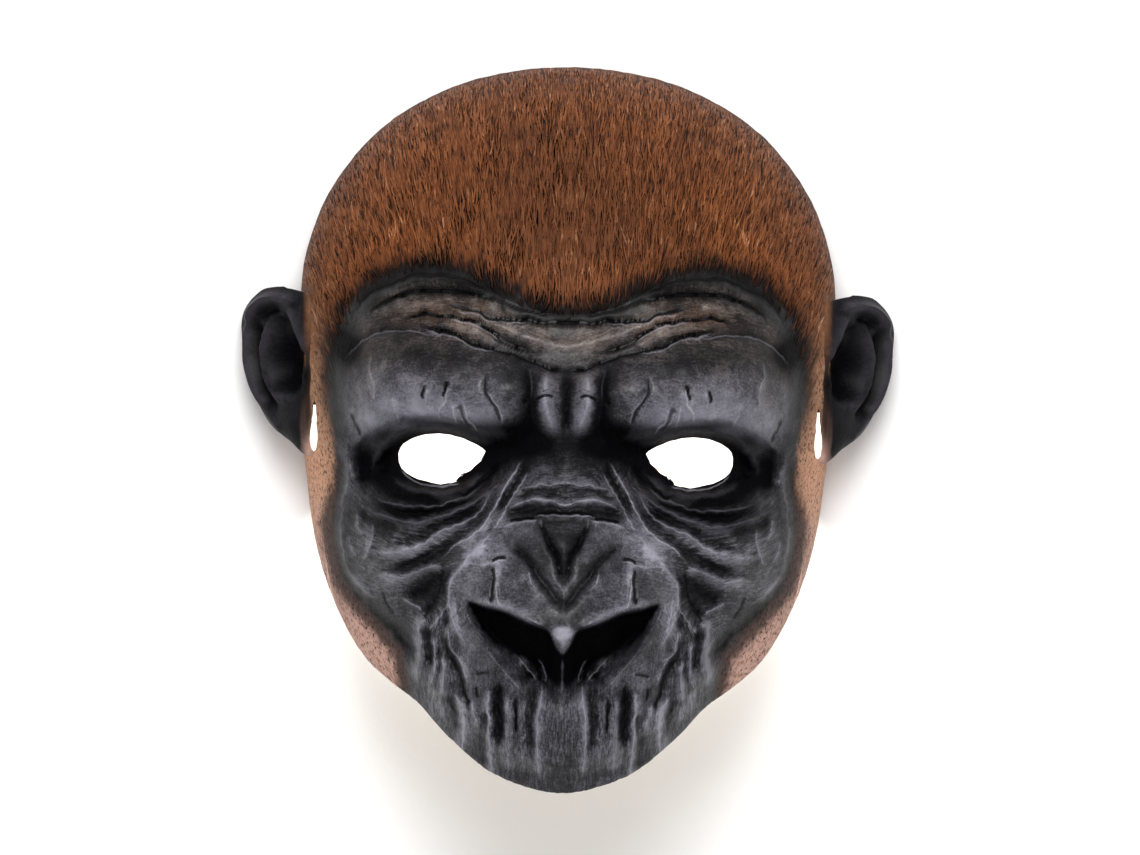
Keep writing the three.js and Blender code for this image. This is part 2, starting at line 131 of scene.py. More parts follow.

# Folds and grooves along bent paths. inner is the spread on the left of the way along the path, outer on the
# right. thread is the fine line painted along it: less than 0 a crack painted black as shade, more than 0 a
# pale crest line of dry-brushed paint and painted highlight.
# Threads that run close to each other are in different sets.
FOLDS = paths("inner outer raise thread set", [
    ("hairline groove", 4.6, 5.8, -5, -0.9, 0,
     "303 150, 290 172, 271 196, 240 210, 212 222, 180 223, 153 220, 121 212, 100 197, 80 187, 56 179, "
     "30 172, 0 169, -30 172"),
    ("crease 1", 3.0, 3.4, -6, -1, 1,
     "277 160, 265 174, 251 183, 239 189, 220 197, 204 200, 180 201, 157 200, 139 199, 121 196, 100 190, "
     "84 180"),
    ("crease 2", 3.0, 3.4, -6, -1, 2,
     "172 184, 153 180, 139 176, 121 171, 112 167, 94 164, 68 162, 47 161, 23 160, 0 159, -23 160"),
    ("crease 3", 3.0, 3.6, -7, -1, 0,
     "230 162, 212 166, 196 167, 180 167, 163 166, 153 165, 133 160, 121 156, 108 148, 98 143, 90 134, "
     "74 128, 55 122, 30 117"),
    ("crease 4", 3.2, 4, -7, -1, 1,
     "212 154, 192 150, 173 146, 159 144, 143 136, 133 130, 121 127, 104 122, 84 118, 60 111, 47 104, "
     "29 99, 15 95, 0 93, -15 95"),
    ("crease 2 lip", 4, 4, 3, 0.45, 1, "158 176, 141 172, 126 168, 112 163, 94 160, 68 158, 50 157"),
    ("crease 3 lip", 4, 4, 3, 0.5, 2, "165 162, 148 160, 131 155, 119 151, 106 143, 95 136, 80 128"),
    ("crease 4 lip", 4, 4, 3, 0.45, 2, "200 149, 180 143, 160 139, 143 131, 131 125, 119 122, 100 118"),
    ("roll 1", 7, 7, 4, 0, 0, "262 186, 220 207, 180 212, 140 209, 105 202"),
    ("roll 2", 6, 6, 4, 0, 0, "262 168, 235 178, 205 183, 180 184"),
    ("roll 3", 8, 8, 5, 0, 0, "165 174, 140 168, 115 162, 85 150, 50 138, 0 128, -50 138"),
    ("roll 4", 7, 7, 5, 0, 0, "190 159, 165 155, 140 149, 118 140, 90 126"),
    ("brow pad top", 5, 7, -5, 0.3, 2,
     "309 102, 303 108, 295 118, 281 130, 265 139, 251 144, 236 145, 220 145, 208 144, 192 141, 177 138"),
    ("brow shelf", 10, 26, 20, 0, 0, "294 -16, 272 8, 236 26, 200 31, 165 28, 130 18, 100 7, 70 -2"),
    ("frown pillar", 9, 9, 15, 0, 0, "29 98, 29 80, 29 60, 27 40, 20 18, 12 0"),
    ("frown groove", 8, 10.3, -10, 0, 0, "54 98, 50 70, 47 40, 46 10, 52 -10"),
    ("frown nick", 2.9, 2.9, -4, -1, 0, "41 54, 36 57, 31 58.6, 24 58.8, 18 57"),
    ("frown middle", 8, 8, -7, 0, 0, "0 84, 0 50, 0 10"),
    ("brow nick 1", 3, 3, -5, -0.9, 0, "194 71, 199 60, 198 52"),
    ("brow nick 1 lip", 4, 4, 3, 0.6, 1, "190 68, 194 56, 195 44"),
    ("brow nick 2", 3, 3, -5, -1, 1, "164 77, 167 66, 169 55"),
    ("brow nick 2 lip", 4, 4, 5, 0.9, 2, "161 72, 164 58, 166 48, 173 39, 174 31, 171 23"),
    ("brow nick 3", 3, 3, 3, 0.7, 0, "157 47, 155 35, 153 26, 149 20"),
    ("brow nick 4", 4, 4, -5, -0.5, 0, "148 47, 144 34, 138 23, 128 13"),
    ("brow nick 4 lip", 4, 4, 4, 0.8, 1, "143 46, 139 35, 134 25, 126 16, 119 9"),
    ("brow nick 5", 3.4, 4.6, -4, -0.6, 2, "114 86, 112 67, 104 51, 97 39, 92 28, 91 20"),
    ("brow nick 5 lip", 4, 4, 3, 0.6, 0, "109 66, 100 50, 93 40, 88 28, 87 19"),
    ("brow nick 6", 5, 5, 3, 0.4, 1, "240 54, 235 37, 229 20"),
    ("brow nick 7", 3, 3, -4, -0.8, 1, "296 32, 290 18, 281 0"),
    ("brow line", 4, 4, 2, 0.35, 0, "269 114, 271 98, 269 83, 265 67, 264 47"),
    ("brow crack", 2.5, 2.5, -4, -0.8, 2, "60 49, 56 52, 52 51"),
    ("upper lid", 7, 7, 12, 0, 0,
     "264 -58, 265 -42, 262 -28, 256 -17, 247 -9, 238 -1, 225 8, 208 13, 190 15, 170 15, 150 11, 130 4, "
     "112 -6, 98 -16"),
    ("lid corner", 6.9, 6.9, -9, 0, 0, "249 -52, 246 -36, 242 -24, 236 -16"),
    ("socket side", 9.2, 9.2, -6, 0, 0, "280 -6, 284 -35, 278 -66"),
    ("lower lid", 6, 7, 9, 0, 0,
     "240 -50, 228 -62, 213 -70, 196 -75, 172 -77, 150 -74, 132 -66, 115 -54, 104 -40"),
    ("lower lid edge", 3, 3, 2, 0.9, 0,
     "226 -46, 213 -57, 200 -62.5, 184 -67, 168 -67.5, 155 -65.5, 143 -62"),
    ("lower lid gap", 4.6, 5.8, -6, -0.9, 1, "238 -79, 220 -82, 200 -83, 184 -85, 170 -89"),
    ("lower lid run", 5.8, 5.8, -7, -0.6, 1, "149 -82, 132 -73, 115 -59, 97 -42, 89 -35"),
    ("bag 1", 6, 6, 7, 0.25, 0, "262 -82, 245 -90, 225 -94, 200 -95, 175 -93, 150 -86, 128 -76, 110 -62"),
    ("bag 1 gap", 5.8, 5.8, -6, -0.8, 2,
     "264 -86, 245 -97, 228 -103, 204 -105, 180 -101, 161 -96, 141 -89, 120 -78"),
    ("bag 2", 9, 7, 10, 0.2, 1,
     "272 -99, 251 -108, 222 -116, 192 -115, 161 -105, 133 -93, 113 -81, 100 -70, 88 -55"),
    ("bag 2 gap", 6.9, 6.9, -6, 0, 0, "282 -103, 263 -115, 243 -127, 226 -130"),
    ("side 1 gap", 8, 8, -7, 0, 0,
     "236 -152, 210 -145, 192 -136, 163 -118, 142 -107, 122 -93, 106 -78, 92 -60"),
    ("side 1", 12, 5, 13, 0.6, 1,
     "266 -157, 241 -159, 220 -156, 204 -150, 192 -144, 176 -134, 161 -125, 141 -118, 133 -114, 122 -105, "
     "112 -93, 104 -80, 97 -66"),
    ("side 2 gap", 10.3, 6.9, -9, 0, 0,
     "252 -186, 228 -181, 212 -175, 192 -165, 180 -157, 159 -143, 140 -130, 124 -118, 112 -105, 102 -90, "
     "92 -72"),
    ("side 2", 6, 6, 8, 1, 2,
     "163 -166, 155 -152, 143 -143, 134 -139, 122 -129, 112 -121, 106 -110, 100 -100, 94 -90, 88 -77, "
     "79 -60, 69 -45, 60 -30"),
    ("nose side gap", 6.9, 6.9, -8, 0, 0, "94 -104, 80 -80, 70 -62, 60 -45, 51 -28"),
    ("nose side", 5, 5, 5, 0.7, 0, "98 -126, 88 -109, 81 -97, 72 -81, 64 -67, 59 -59, 50 -45"),
    ("side 3", 10, 5, 10, 0.4, 0, "254 -188, 235 -193, 220 -192, 204 -185, 188 -179, 172 -174, 163 -170"),
    ("side 3 gap", 10.3, 9.2, -9, 0, 0, "216 -220, 198 -213, 182 -201, 171 -184"),
    ("side 3 thread", 4, 4, 4, 0.6, 1, "221 -222, 208 -229, 194 -239"),
    ("wing fold", 5.8, 5.8, -7, -0.6, 2, "166 -178, 167 -197, 172 -217, 184 -236, 193 -248"),
    ("wing fold 2", 4, 4, 6, 0.6, 1, "155 -222, 163 -235, 176 -256, 184 -267"),
    ("smile", 7, 8, 14, 0.2, 0, "193 -238, 198 -256, 198 -276, 195 -296, 198 -315, 199 -338"),
    ("smile gap", 6.9, 6.9, -9, 0, 0, "189 -258, 188 -280, 185 -300, 183 -316"),
    ("smile 2", 4, 4, 7, 0.6, 2, "177 -273, 175 -291, 174 -305, 178 -324, 181 -340"),
    ("smile 3", 5, 5, 8, 0.5, 1, "165 -298, 162 -317, 164 -343, 164 -361"),
    ("smile 4", 4, 4, 6, 0.6, 0, "157 -260, 157 -281, 147 -298, 137 -314, 130 -337"),
    ("smile 4 gap", 5.8, 5.8, -8, -0.7, 1,
     "164 -268, 160 -285, 153 -300, 143 -318, 138 -333, 131 -360, 130 -377"),
    ("smile 3 gap", 5.8, 5.8, -5, 0, 0, "170 -285, 168 -305, 170 -325"),
    ("wing edge", 6, 6, 10, 0.7, 1,
     "98 -126, 114 -147, 131 -164, 141 -176, 153 -191, 156 -205, 157 -221, 155 -236, 150 -253, 141 -272, "
     "131 -285"),
    ("wing gap", 5.8, 5.8, -8, 0, 0, "152 -172, 161 -192, 163 -210, 162 -230, 160 -250, 162 -266"),
    ("wing inner", 3, 3, 3, 0.6, 2, "149 -216, 148 -235, 146 -247, 141 -267"),
    ("edge gap", 9.2, 12.6, -10, 0, 0,
     "312 -20, 310 -52, 316 -99, 318 -134, 314 -158, 304 -186, 290 -209, 271 -229, 251 -248, 231 -264, "
     "212 -284, 202 -302, 204 -334"),
    ("edge ridge", 6, 8, 9, 0.25, 2,
     "303 -10, 301 -30, 299 -48, 302 -75, 307 -99, 308 -134, 304 -162, 298 -182, 290 -195, 279 -207, "
     "265 -217, 248 -230"),
    ("cheek wisp 1", 5, 5, 5, 0.4, 0, "286 -106, 284 -124, 277 -138"),
    ("cheek wisp 2", 5, 5, 5, 0.4, 0, "264 -118, 263 -135, 269 -152, 276 -172"),
    ("cheek wisp 3", 4, 4, 4, 0.3, 1, "296 -134, 294 -150, 286 -166"),
    ("cheek scratch", 2.5, 2.5, -3, -0.9, 1, "251 -211, 243 -227, 231 -246"),
    ("bridge 1", 5, 5, 5, 0.4, 1, "64 -69, 54 -66, 43 -65, 34 -61, 24 -62, 0 -60, -24 -62"),
    ("bridge 1 gap", 5.8, 5.8, -5, 0, 0, "68 -79, 54 -75, 36 -72, 18 -74, 0 -77, -18 -74"),
    ("bridge 2", 6, 6, 8, 0.6, 2, "77 -98, 64 -89, 50 -85, 38 -83, 24 -83, 14 -86, 0 -90, -14 -86"),
    ("bridge 2 gap", 4.6, 5.8, -8, 0, 0, "84 -107, 70 -101, 50 -97, 30 -96, 0 -97, -30 -96"),
    ("pad roof", 3, 3, 4, 0.6, 2, "44 -107, 28 -105, 0 -104, -28 -105"),
    ("pad roof crack", 2.5, 2.5, -4, -0.8, 1, "43 -103, 28 -101.5, 0 -100, -28 -101.5"),
    ("pad roof gap", 4.6, 4.6, -4, 0, 0, "38 -114, 24 -113, 0 -111, -24 -113"),
    ("pad top crack", 3, 3, -5, -0.9, 0, "75 -113, 64 -110, 57 -108, 48 -107.5, 40 -108"),
    ("pad top", 4, 4, 7, 0.9, 1, "82 -121, 71 -116, 62 -114, 50 -112, 38 -112"),
    ("pad notch", 4, 6, -11, 0, 2, "41 -113, 30 -122, 23 -136, 14 -153, 9 -166, 3 -188, 0 -204"),
    ("pad notch 2", 5, 7, -10, 0, 1, "84 -146, 69 -152, 57 -157, 47 -169, 35 -186, 21 -205, 9 -222, 0 -240"),
    ("pad crack", 2.5, 2.5, -5, -1, 0, "100 -168, 90 -164.5, 79 -163"),
    ("pad crack lip", 3, 3, 3, 0.7, 2, "117 -173, 99 -171, 90 -167.5, 78 -166.5"),
    ("pad crack side", 3.4, 3.4, -4, -0.9, 1, "96 -175, 97 -191, 98 -203, 98 -227"),
    ("pad crack side lip", 3, 3, 5, 0.8, 2, "93 -176, 94.5 -195, 92 -212, 87 -231"),
    ("pad streak", 4, 4, 4, 0.5, 0, "48 -181, 46 -190, 43 -200"),
    ("nostril roof", 9, 6, 8, 0, 0, "124 -220, 98 -227, 76 -232, 57 -241, 41 -249, 20 -254"),
    ("septum", 4, 4, 5, 0.3, 2, "0 -300, 0 -325, 0 -345"),
    ("nostril fold", 4, 4, 6, 0.5, 0, "61 -298, 50 -311, 42 -321, 35 -331"),
    ("nostril crack", 2.5, 2.5, -4, -1, 1, "56 -307, 48 -318, 40 -329"),
    ("nostril fold 2", 3, 3, 4, 0.5, 2, "34 -300, 26 -314, 20 -332"),
    ("nostril crack 2", 2.5, 2.5, -4, -0.9, 0, "42 -300, 34 -315, 27 -332"),
    ("lip ridge 1", 5, 6, 9, 0.8, 2, "27 -330, 27 -350, 32 -371, 35 -395, 33 -422, 29 -466"),
    ("lip gap 1", 9.2, 4.6, -7, 0, 0, "33 -334, 40 -357, 43 -380, 44 -395, 41 -412, 38 -432"),
    ("lip ridge 2", 8, 8, 4, 0, 0, "53 -350, 53 -400, 52 -450"),
    ("lip crack 2", 3, 3, -4, -0.8, 1, "63 -353, 62 -374, 61 -405"),
    ("lip ridge 3", 6, 6, 6, 0.2, 0, "75 -344, 75 -378, 76 -403, 74 -436, 72 -462"),
    ("lip slot", 6.9, 6.9, -12, 0, 0, "87 -330, 88 -352, 88 -371, 87 -395, 84 -424"),
    ("lip ridge 4", 5, 4, 9, 0.9, 0, "101 -343, 100 -378, 100 -395, 97 -426, 95 -455, 93 -472"),
    ("lip crack 4", 4.6, 3.4, -4, -0.7, 2, "104 -372, 103 -388, 104 -404, 106 -420"),
    ("lip gap 4", 6.9, 6.9, -6, 0, 0, "111 -398, 108 -425, 104 -450"),
    ("lip ridge 5", 4, 4, 6, 0.6, 1, "126 -360, 119 -380, 112 -398"),
    ("lip crack 5", 3, 3, -4, -0.7, 0, "117 -339, 115 -357"),
    ("lip ridge 6", 5, 4, 10, 0.9, 2,
     "147 -348, 143 -358, 137 -371, 133 -388, 133 -402, 136 -419, 141 -434"),
    ("lip gap 6", 5.8, 5.8, -7, 0, 0, "155 -348, 150 -360, 144 -386, 140 -407"),
    ("lip line", 3, 3, -3, -0.5, 2, "98 -320, 108 -322, 120 -323"),
    ("lip corner", 8, 8, 5, 0, 0, "179 -340, 172 -365, 160 -386"),
])
# Where the skin is finely wrinkled, and how much
WRINKLED = rows(HILL, [
    ("under the eye", 205, -125, 96, 58, 0, 0.9, 3),
    ("inner eye", 96, -40, 40, 44, 0, 0.7, 2),
    ("cheek", 235, -205, 60, 56, 0, 0.6, 2),
    ("mouth side", 172, -295, 40, 90, 0, 0.9, 3),
    ("lip", 0, -410, 190, 78, 0, 0.75, 4),
    ("forehead", 130, 165, 150, 42, 0, 0.5, 3),
    ("bridge", 0, -55, 66, 46, 0, 0.7, 2),
    ("nose pad", 75, -190, 70, 55, 0, 0.2, 2),
])
WRINKLE_WIDTHS = ((15, 41), (9.5, 42))       # from one wrinkle to the next, and the seed of its unevenness
WRINKLE_RISE = 1.1
WRINKLE_SHARE = 0.6          # brings the sum of the widths to about 1
# Where each way of wrinkling fades in, and over what run
LIP_BELOW, LIP_WITHIN = (-190, 90), (260, 80)
BRIDGE_ABOVE, BRIDGE_WITHIN = (-190, 60), (85, 45)
BROW_ABOVE = (20, 60)
BROW_ARCH, BROW_SPAN = 45, 330               # rise and width of the wave that the forehead's wrinkles follow
BRIDGE_LEAN = 0.1
LIP_CROWDING = 1.2
EYE_X, EYE_Y, EYE_OVAL = 172, -20, 1.3       # middle and stretch of the ovals round the eye

PATH_STEPS = 3               # straight pieces between two points of a path
FOLD_PEAK = 1.5              # how sharp a fold's crest is: 2 is round
FOLD_REACH = 3               # how many times its spread a fold is felt
FOLD_FADE = 0.18             # share of a fold's length over which each end fades out
FOLD_TIP_WIDE, FOLD_TIP_RISE = 0.6, 0.06     # what is left of its spread and height at its very end
THREAD_SETS = 3
THREAD_FADE = 0.12           # share of a thread's length over which each end fades out
THREAD_FAR = 9               # how far a thread's strength is told on either side
# Unevenness by hand: amount, size of the lumps, seed
WANDER_X = ((1.3, 36, 21), (0.8, 14, 22))
WANDER_Y = ((1.3, 36, 23), (0.8, 14, 24))
CAST_LUMPS = ((1.4, 70, 3), (0.5, 22, 4))
RIM_LUMPS = ((1, 20, 31), (0.6, 8, 32))
LUMP_WAVES = 7               # how many crossed waves make the lumps

# The eye hole's edge, outer corner first, over the top to the inner corner and back below
EYE = points_in(
    "230 -20, 227 -13, 220 -6, 211 -2, 202 2, 194 4, 180 5, 168 6, 158 4, 144 0, 132 -4, 120 -10, 113 -15, "
    "106 -22, 116 -30, 125 -39, 131 -45, 134 -48, 141 -49, 143 -52, 150 -57, 151 -61, 160 -63, 170 -64, "
    "182 -64, 194 -61, 203 -59, 213 -53, 223 -47, 228 -40, 231 -30")
EYE_SEED = 11
EYE_LOWER = -38              # below this its edge is cut more raggedly
EYE_RAGGED_LOW, EYE_RAGGED = 0.9, 0.3
# The strap slot's edge, from its top down the outer side and up the inner side
SLOT = points_in(
    "348 49, 350 40, 350 26, 352 14, 354 2, 354 -12, 351 -21, 347 -23, 343 -18, 342 -4, 343 10, 345 20, "
    "344 34, 346 46")
EYE_STEPS, SLOT_STEPS = 3, 2                 # straight pieces between two points of their edges
SLOT_FROM_Z, EYE_FROM_Z, CUT_TOP = 0.014, 0.030, 0.150

# The ear: its outline by turn outward from straight up, and its own relief
EAR_X, EAR_Y = 397, 94
EAR = rows("turn reach", [
    (0, 111), (12, 111), (22, 105), (38, 90), (59, 64), (72, 57), (90, 53), (107, 51), (143, 57), (155, 65),
    (172, 83), (187, 103), (196, 127), (204, 125), (235, 67), (270, 55), (318, 78), (336, 106), (348, 107),
    (360, 109),
])
EAR_BUMPS = rows(HILL, [
    ("concha", 388, 97, 21, 37, 0, -30, 4),
    ("upper hollow", 398, 146, 15, 18, 30, -9, 2),
    ("tragus", 358, 82, 10, 13, 0, 8, 2),
    ("lobe", 378, 16, 24, 26, 0, 7, 2),
])
EAR_FOLDS = paths("inner outer raise thread set", [
    ("helix top", 7, 7, 13, 0, 0, "372 186, 392 188, 411 191, 428 182, 439 168, 442 150"),
    ("helix side", 6, 7, 12, 0, 0, "442 160, 442 130, 441 100, 433 70, 424 50, 412 30"),
    ("helix low", 6, 6, 5, 0, 0, "418 38, 406 20, 392 4"),
    ("groove top", 5, 5, -9, 0, 0, "398 166, 408 172, 418 171, 428 160"),
    ("pocket", 5, 5, -7, 0, 0, "398 164, 392 158, 388 150"),
    ("scapha", 5, 6, -12, 0, 0, "428 163, 430 127, 428 99, 422 75, 411 52, 398 30"),
    ("antihelix", 5, 7, 9, 0, 0,
     "404 170, 414 146, 419 130, 421 109, 419 84, 411 62, 399 52, 383 49, 364 50"),
    ("front ridge", 8, 8, 8, 0, 0, "388 178, 377 161, 368 134, 360 109"),
    ("concha lobe", 7, 7, 6, 0, 0, "374 96, 384 106, 392 112"),
])
EAR_ROOT_X, EAR_ROOT_Z = 0.0866, 0.034
EAR_BACK = math.radians(50)
EAR_THICK, EAR_ROOT_THICK, EAR_ROOT_RUN = 0.0032, 0.009, 0.006
EAR_SEAT = 0.0011            # how deep the ear's root sits in the side wall
EAR_DISH = 0.3               # share of the thickness that the front's rounded edge falls back
EAR_EDGE, EAR_ROUND = 10, 4  # of the rim's band and its section: more is narrower, and squarer
EAR_BACK_BUMPS, EAR_RIM_RISE = 0.8, 0.5      # share of the relief on the ear's back, and at its rim

# Where the painted face ends: the hairline from the middle outward, then down the side strip to the lip
FACE_EDGE = points_in(
    "0 171, 54 177, 98 202, 140 222, 187 233, 222 227, 262 211, 299 170, 319 120, 322 50, 312 -20, 308 -60, "
    "316 -118, 311 -156, 300 -195, 268 -233, 241 -261, 214 -292, 204 -347, 215 -400, 215 -520, 0 -700")
FACE_EDGE_SHOWN = 20         # points of it on a painted edge; the rest close the area
FACE_BEYOND = points_in("-1000 -700, -1000 171")         # close it on the other half

# Coats over the face: near-black paint and painted shade in the hollows, under the brow, eyes and nose, in
# the slot's recess and the ear's bowl; paler paint and painted highlights on the nose pad, muzzle, lips, brow
# and nose tip.
# amount is the strength of the coat
# dark paint and painted shade in the hollows and under the forms
DARK_PAINT_AND_SHADE = rows(HILL, [
    ("round the eye", 172, -34, 86, 48, 0, 1.0, 4),
    ("socket corner", 250, -42, 34, 44, 0, 0.9, 3),
    ("outside the socket", 279, -44, 9, 36, 4, 0.5, 2),
    ("inner corner", 86, -8, 38, 34, 32, 0.8, 2),
    ("under the brow", 165, 8, 122, 15, 2, 0.8, 2),
    ("under the eye", 182, -98, 98, 32, 4, 0.8, 3),
    ("under the bags", 232, -112, 44, 20, 20, 0.35, 2),
    ("beside the nose", 116, -96, 14, 44, -38, 0.35, 2),
    ("nose bridge side", 54, 34, 13, 56, 0, 0.55, 2),
    ("frown middle", 0, 48, 11, 46, 0, 0.7, 2),
    ("frown top", 0, 92, 60, 16, 0, 0.5, 2),
    ("frown foot", 28, 0, 20, 24, 0, 0.4, 2),
    ("nose root", 0, -16, 76, 26, 0, 0.6, 3),
    ("bridge", 0, -56, 60, 30, 0, 0.28, 2),
    ("cheek hollow", 190, -212, 24, 28, 10, 0.6, 2),
    ("cheek band", 214, -174, 50, 9, -14, 0.4, 2),
    ("nostril corner", 122, -246, 10, 22, 14, 0.3, 2),
    ("septum", 0, -326, 24, 22, 0, 0.5, 2),
    ("under the nose", 46, -322, 50, 18, -24, 0.4, 2),
    ("side of the face", 306, -120, 18, 110, 0, 0.45, 2),
    ("side of the brow", 322, 70, 6, 70, 4, 0.4, 2),
    ("above the crease", 0, 176, 80, 13, 0, 0.7, 3),
    ("mouth side", 150, -300, 8, 44, -12, 0.35, 2),
    ("pad middle", 0, -146, 22, 38, 0, 0.4, 2),
    ("pad inner", 40, -210, 30, 26, 40, 0.22, 2),
    ("pad top", 0, -104, 90, 10, 0, 0.3, 2),
    ("nostril streak", 46, -322, 6, 16, -34, 0.5, 2),
    ("nostril streak 2", 24, -330, 5, 18, -18, 0.5, 2),
    ("lip middle", 0, -440, 34, 60, 0, 0.2, 2),
    ("brow pad top", 216, 120, 92, 17, -3, 0.55, 2),
    ("forehead top", 116, 206, 110, 13, 2, 0.75, 3),
    ("forehead end", 250, 180, 46, 12, -24, 0.3, 2),
    ("brow inner shade", 72, 92, 24, 34, 0, 0.35, 2),
    ("face's upper side", 310, 132, 20, 46, 14, 0.75, 2),
    ("slot", 357, 26, 8, 36, -3, 0.9, 3),
    ("ear bowl", 368, 80, 14, 34, 0, 1.0, 4),
    ("brow shade", 150, 104, 60, 14, 0, 0.3, 2),
    ("brow end", 296, 112, 22, 26, 10, 0.4, 2),
    ("pad wedge", 16, -146, 12, 30, -18, 0.4, 2),
    ("lip band", 52, -352, 90, 10, 0, 0.25, 2),
    ("lip groove 1", 41, -390, 6, 44, 0, 0.35, 2),
    ("lip groove 2", 87, -380, 7, 44, 0, 0.45, 2),
    ("lip groove 3", 151, -370, 6, 34, -14, 0.4, 2),
    ("lid shade", 200, 22, 60, 8, -10, 0.5, 2),
])
# paler paint, partly painted highlight where the forms face the light
PALE_PAINT_AND_HIGHLIGHT = rows(HILL, [
    ("nose", 0, -190, 120, 76, 0, 0.12, 3),
    ("pad side", 92, -150, 24, 34, -24, 0.7, 2),
    ("pad streak side", 89, -184, 8, 22, 4, 1.0, 2),
    ("pad shoulder", 120, -158, 17, 20, 40, 0.8, 2),
    ("pad upper", 58, -124, 22, 9, -12, 0.5, 2),
    ("pad inner", 60, -196, 20, 14, -30, 0.3, 2),
    ("lip ridge", 27, -384, 7, 56, 0, 0.45, 2),
    ("lip ridge side", 98, -384, 7, 52, 0, 0.5, 2),
    ("lip ridge far", 136, -384, 8, 40, -8, 0.6, 2),
    ("lip ridge middle", 70, -380, 8, 40, 0, 0.3, 2),
    ("upper lid", 252, -14, 12, 34, 30, 0.5, 2),
    ("cheek low", 240, -196, 40, 14, 10, 0.3, 2),
    ("cheek upper", 236, -150, 40, 12, -12, 0.3, 2),
    ("pad low", 70, -214, 40, 12, -14, 0.35, 2),
    ("nose wing", 138, -218, 17, 58, -10, 0.8, 2),
    ("lip", 0, -410, 160, 76, 0, 0.3, 3),
    ("lip side", 128, -330, 40, 56, -10, 0.6, 2),
    ("nose tip", 0, -264, 18, 10, 0, 1.6, 4),
    ("nose tip point", 0, -276, 9, 16, 0, 1.2, 2),
    ("brow", 222, 76, 60, 16, -4, 0.45, 2),
    ("brow end", 302, 30, 10, 34, 4, 0.4, 2),
    ("brow inner", 110, 62, 26, 26, 0, 0.4, 2),
    ("glabella", 28, 46, 9, 30, 0, 0.5, 2),
])
TINT_COATS = rows(HILL, [
    ("forehead fold", 150, 172, 70, 18, 4, 1.0, 2),
    ("forehead middle", 60, 146, 50, 14, 0, 0.5, 2),
    ("brow side", 290, 120, 24, 50, 10, 0.5, 2),
    ("scalp middle", 0, 330, 150, 105, 0, 0.9, 3),
    ("scalp low", 80, 262, 70, 26, 0, 0.35, 2),
])


def srgb(*shown):
    """A linear colour from the 0 to 255 numbers that a picture shows."""
    parts = [value / 255 for value in shown]
    linear = [part / 12.92 if part <= 0.04045 else ((part + 0.055) / 1.055) ** 2.4 for part in parts]
    return (*linear, 1.0)


def smooth(t):
    """Rises smoothly from 0 to 1 as t does."""
    t = np.clip(t, 0, 1)
    return t * t * (3 - 2 * t)


def above(value, start, run):
    """Rises smoothly from 0 to 1 over a run that begins at start."""
    return smooth((value - start) / run)


def below(value, start, run):
    """The same for values under start."""
    return smooth((start - value) / run)


def between(table, key, column, at):
    """A column of a table at any places between its rows, without overshooting them."""
    keys, values = table[key], table[column]
    at = np.clip(at, keys[0], keys[-1])
    i = np.clip(np.searchsorted(keys, at, "right") - 1, 0, len(keys) - 2)
    span = np.diff(keys)
    slope = np.diff(values) / span
    before, after = slope[:-1], slope[1:]
    level = before * after <= 0
    lean = np.zeros(len(keys))
    lean[1:-1] = np.where(level, 0, 2 * before * after / np.where(level, 1, before + after))
    t = (at - keys[i]) / span[i]
    return (values[i] * (1 + 2 * t) * (1 - t) ** 2 + values[i + 1] * t * t * (3 - 2 * t)
            + span[i] * t * (1 - t) * ((1 - t) * lean[i] - t * lean[i + 1]))


def columns_at(table, key, names, at):
    """Several columns of a table at any places between its rows."""
    return [between(table, key, name, at) for name in names.split()]


def rim_at(x, y, names):
    """Columns of the rim's table in the directions of places."""
    return columns_at(RIM, "turn", names, np.degrees(np.arctan2(np.abs(x), y)))


def hills(table, x, y):
    """The sum of a table's hills at places: each is an oval that falls off from its middle."""
    total = np.zeros_like(x)
    for cx, cy, wide, tall, lean, amount, edge in zip(*table.values()):
        c, s = math.cos(math.radians(lean)), math.sin(math.radians(lean))
        dx, dy = x - cx, cy - y
        total += amount * np.exp(-np.hypot((dx * c + dy * s) / wide, (dy * c - dx * s) / tall) ** edge)
    return total


def lumps(x, y, size, seed):
    """Soft unevenness of a hand-cast skin, from a few crossed waves, about -1 to 1."""
    random = np.random.default_rng(seed)
    total = np.zeros_like(x)
    for _ in range(LUMP_WAVES):
        turn, phase = random.uniform(0, math.tau), random.uniform(0, math.tau)
        stretch = random.uniform(0.7, 1.5)
        wave = math.tau / (size * stretch)
        total += np.sin(wave * (x * math.cos(turn) + y * math.sin(turn)) + phase)
    return total / (LUMP_WAVES / 2)


def uneven(value, x, y, *layers):
    """A value made uneven by layers of lumps, each an amount, a size and a seed."""
    for amount, size, seed in layers:
        value = value + amount * lumps(x, y, size, seed)
    return value


def bend(points, steps, closed=False):
    """A smooth curve through points, as a run of closer points."""
    if closed:
        before, after, beyond = (np.roll(points, -shift, 0) for shift in (1, -1, -2))
        start = points
    else:
        ends = np.concatenate([[2 * points[0] - points[1]], points, [2 * points[-1] - points[-2]]])
        before, start, after, beyond = ends[:-3], ends[1:-2], ends[2:-1], ends[3:]
    curve = [0.5 * (2 * start + (after - before) * t + (2 * before - 5 * start + 4 * after - beyond) * t ** 2
                    + (3 * start - before - 3 * after + beyond) * t ** 3)
             for t in np.linspace(0, 1, steps, endpoint=False)]
    curve = np.stack(curve, 1).reshape(-1, 2)
    return curve if closed else np.concatenate([curve, points[-1:]])


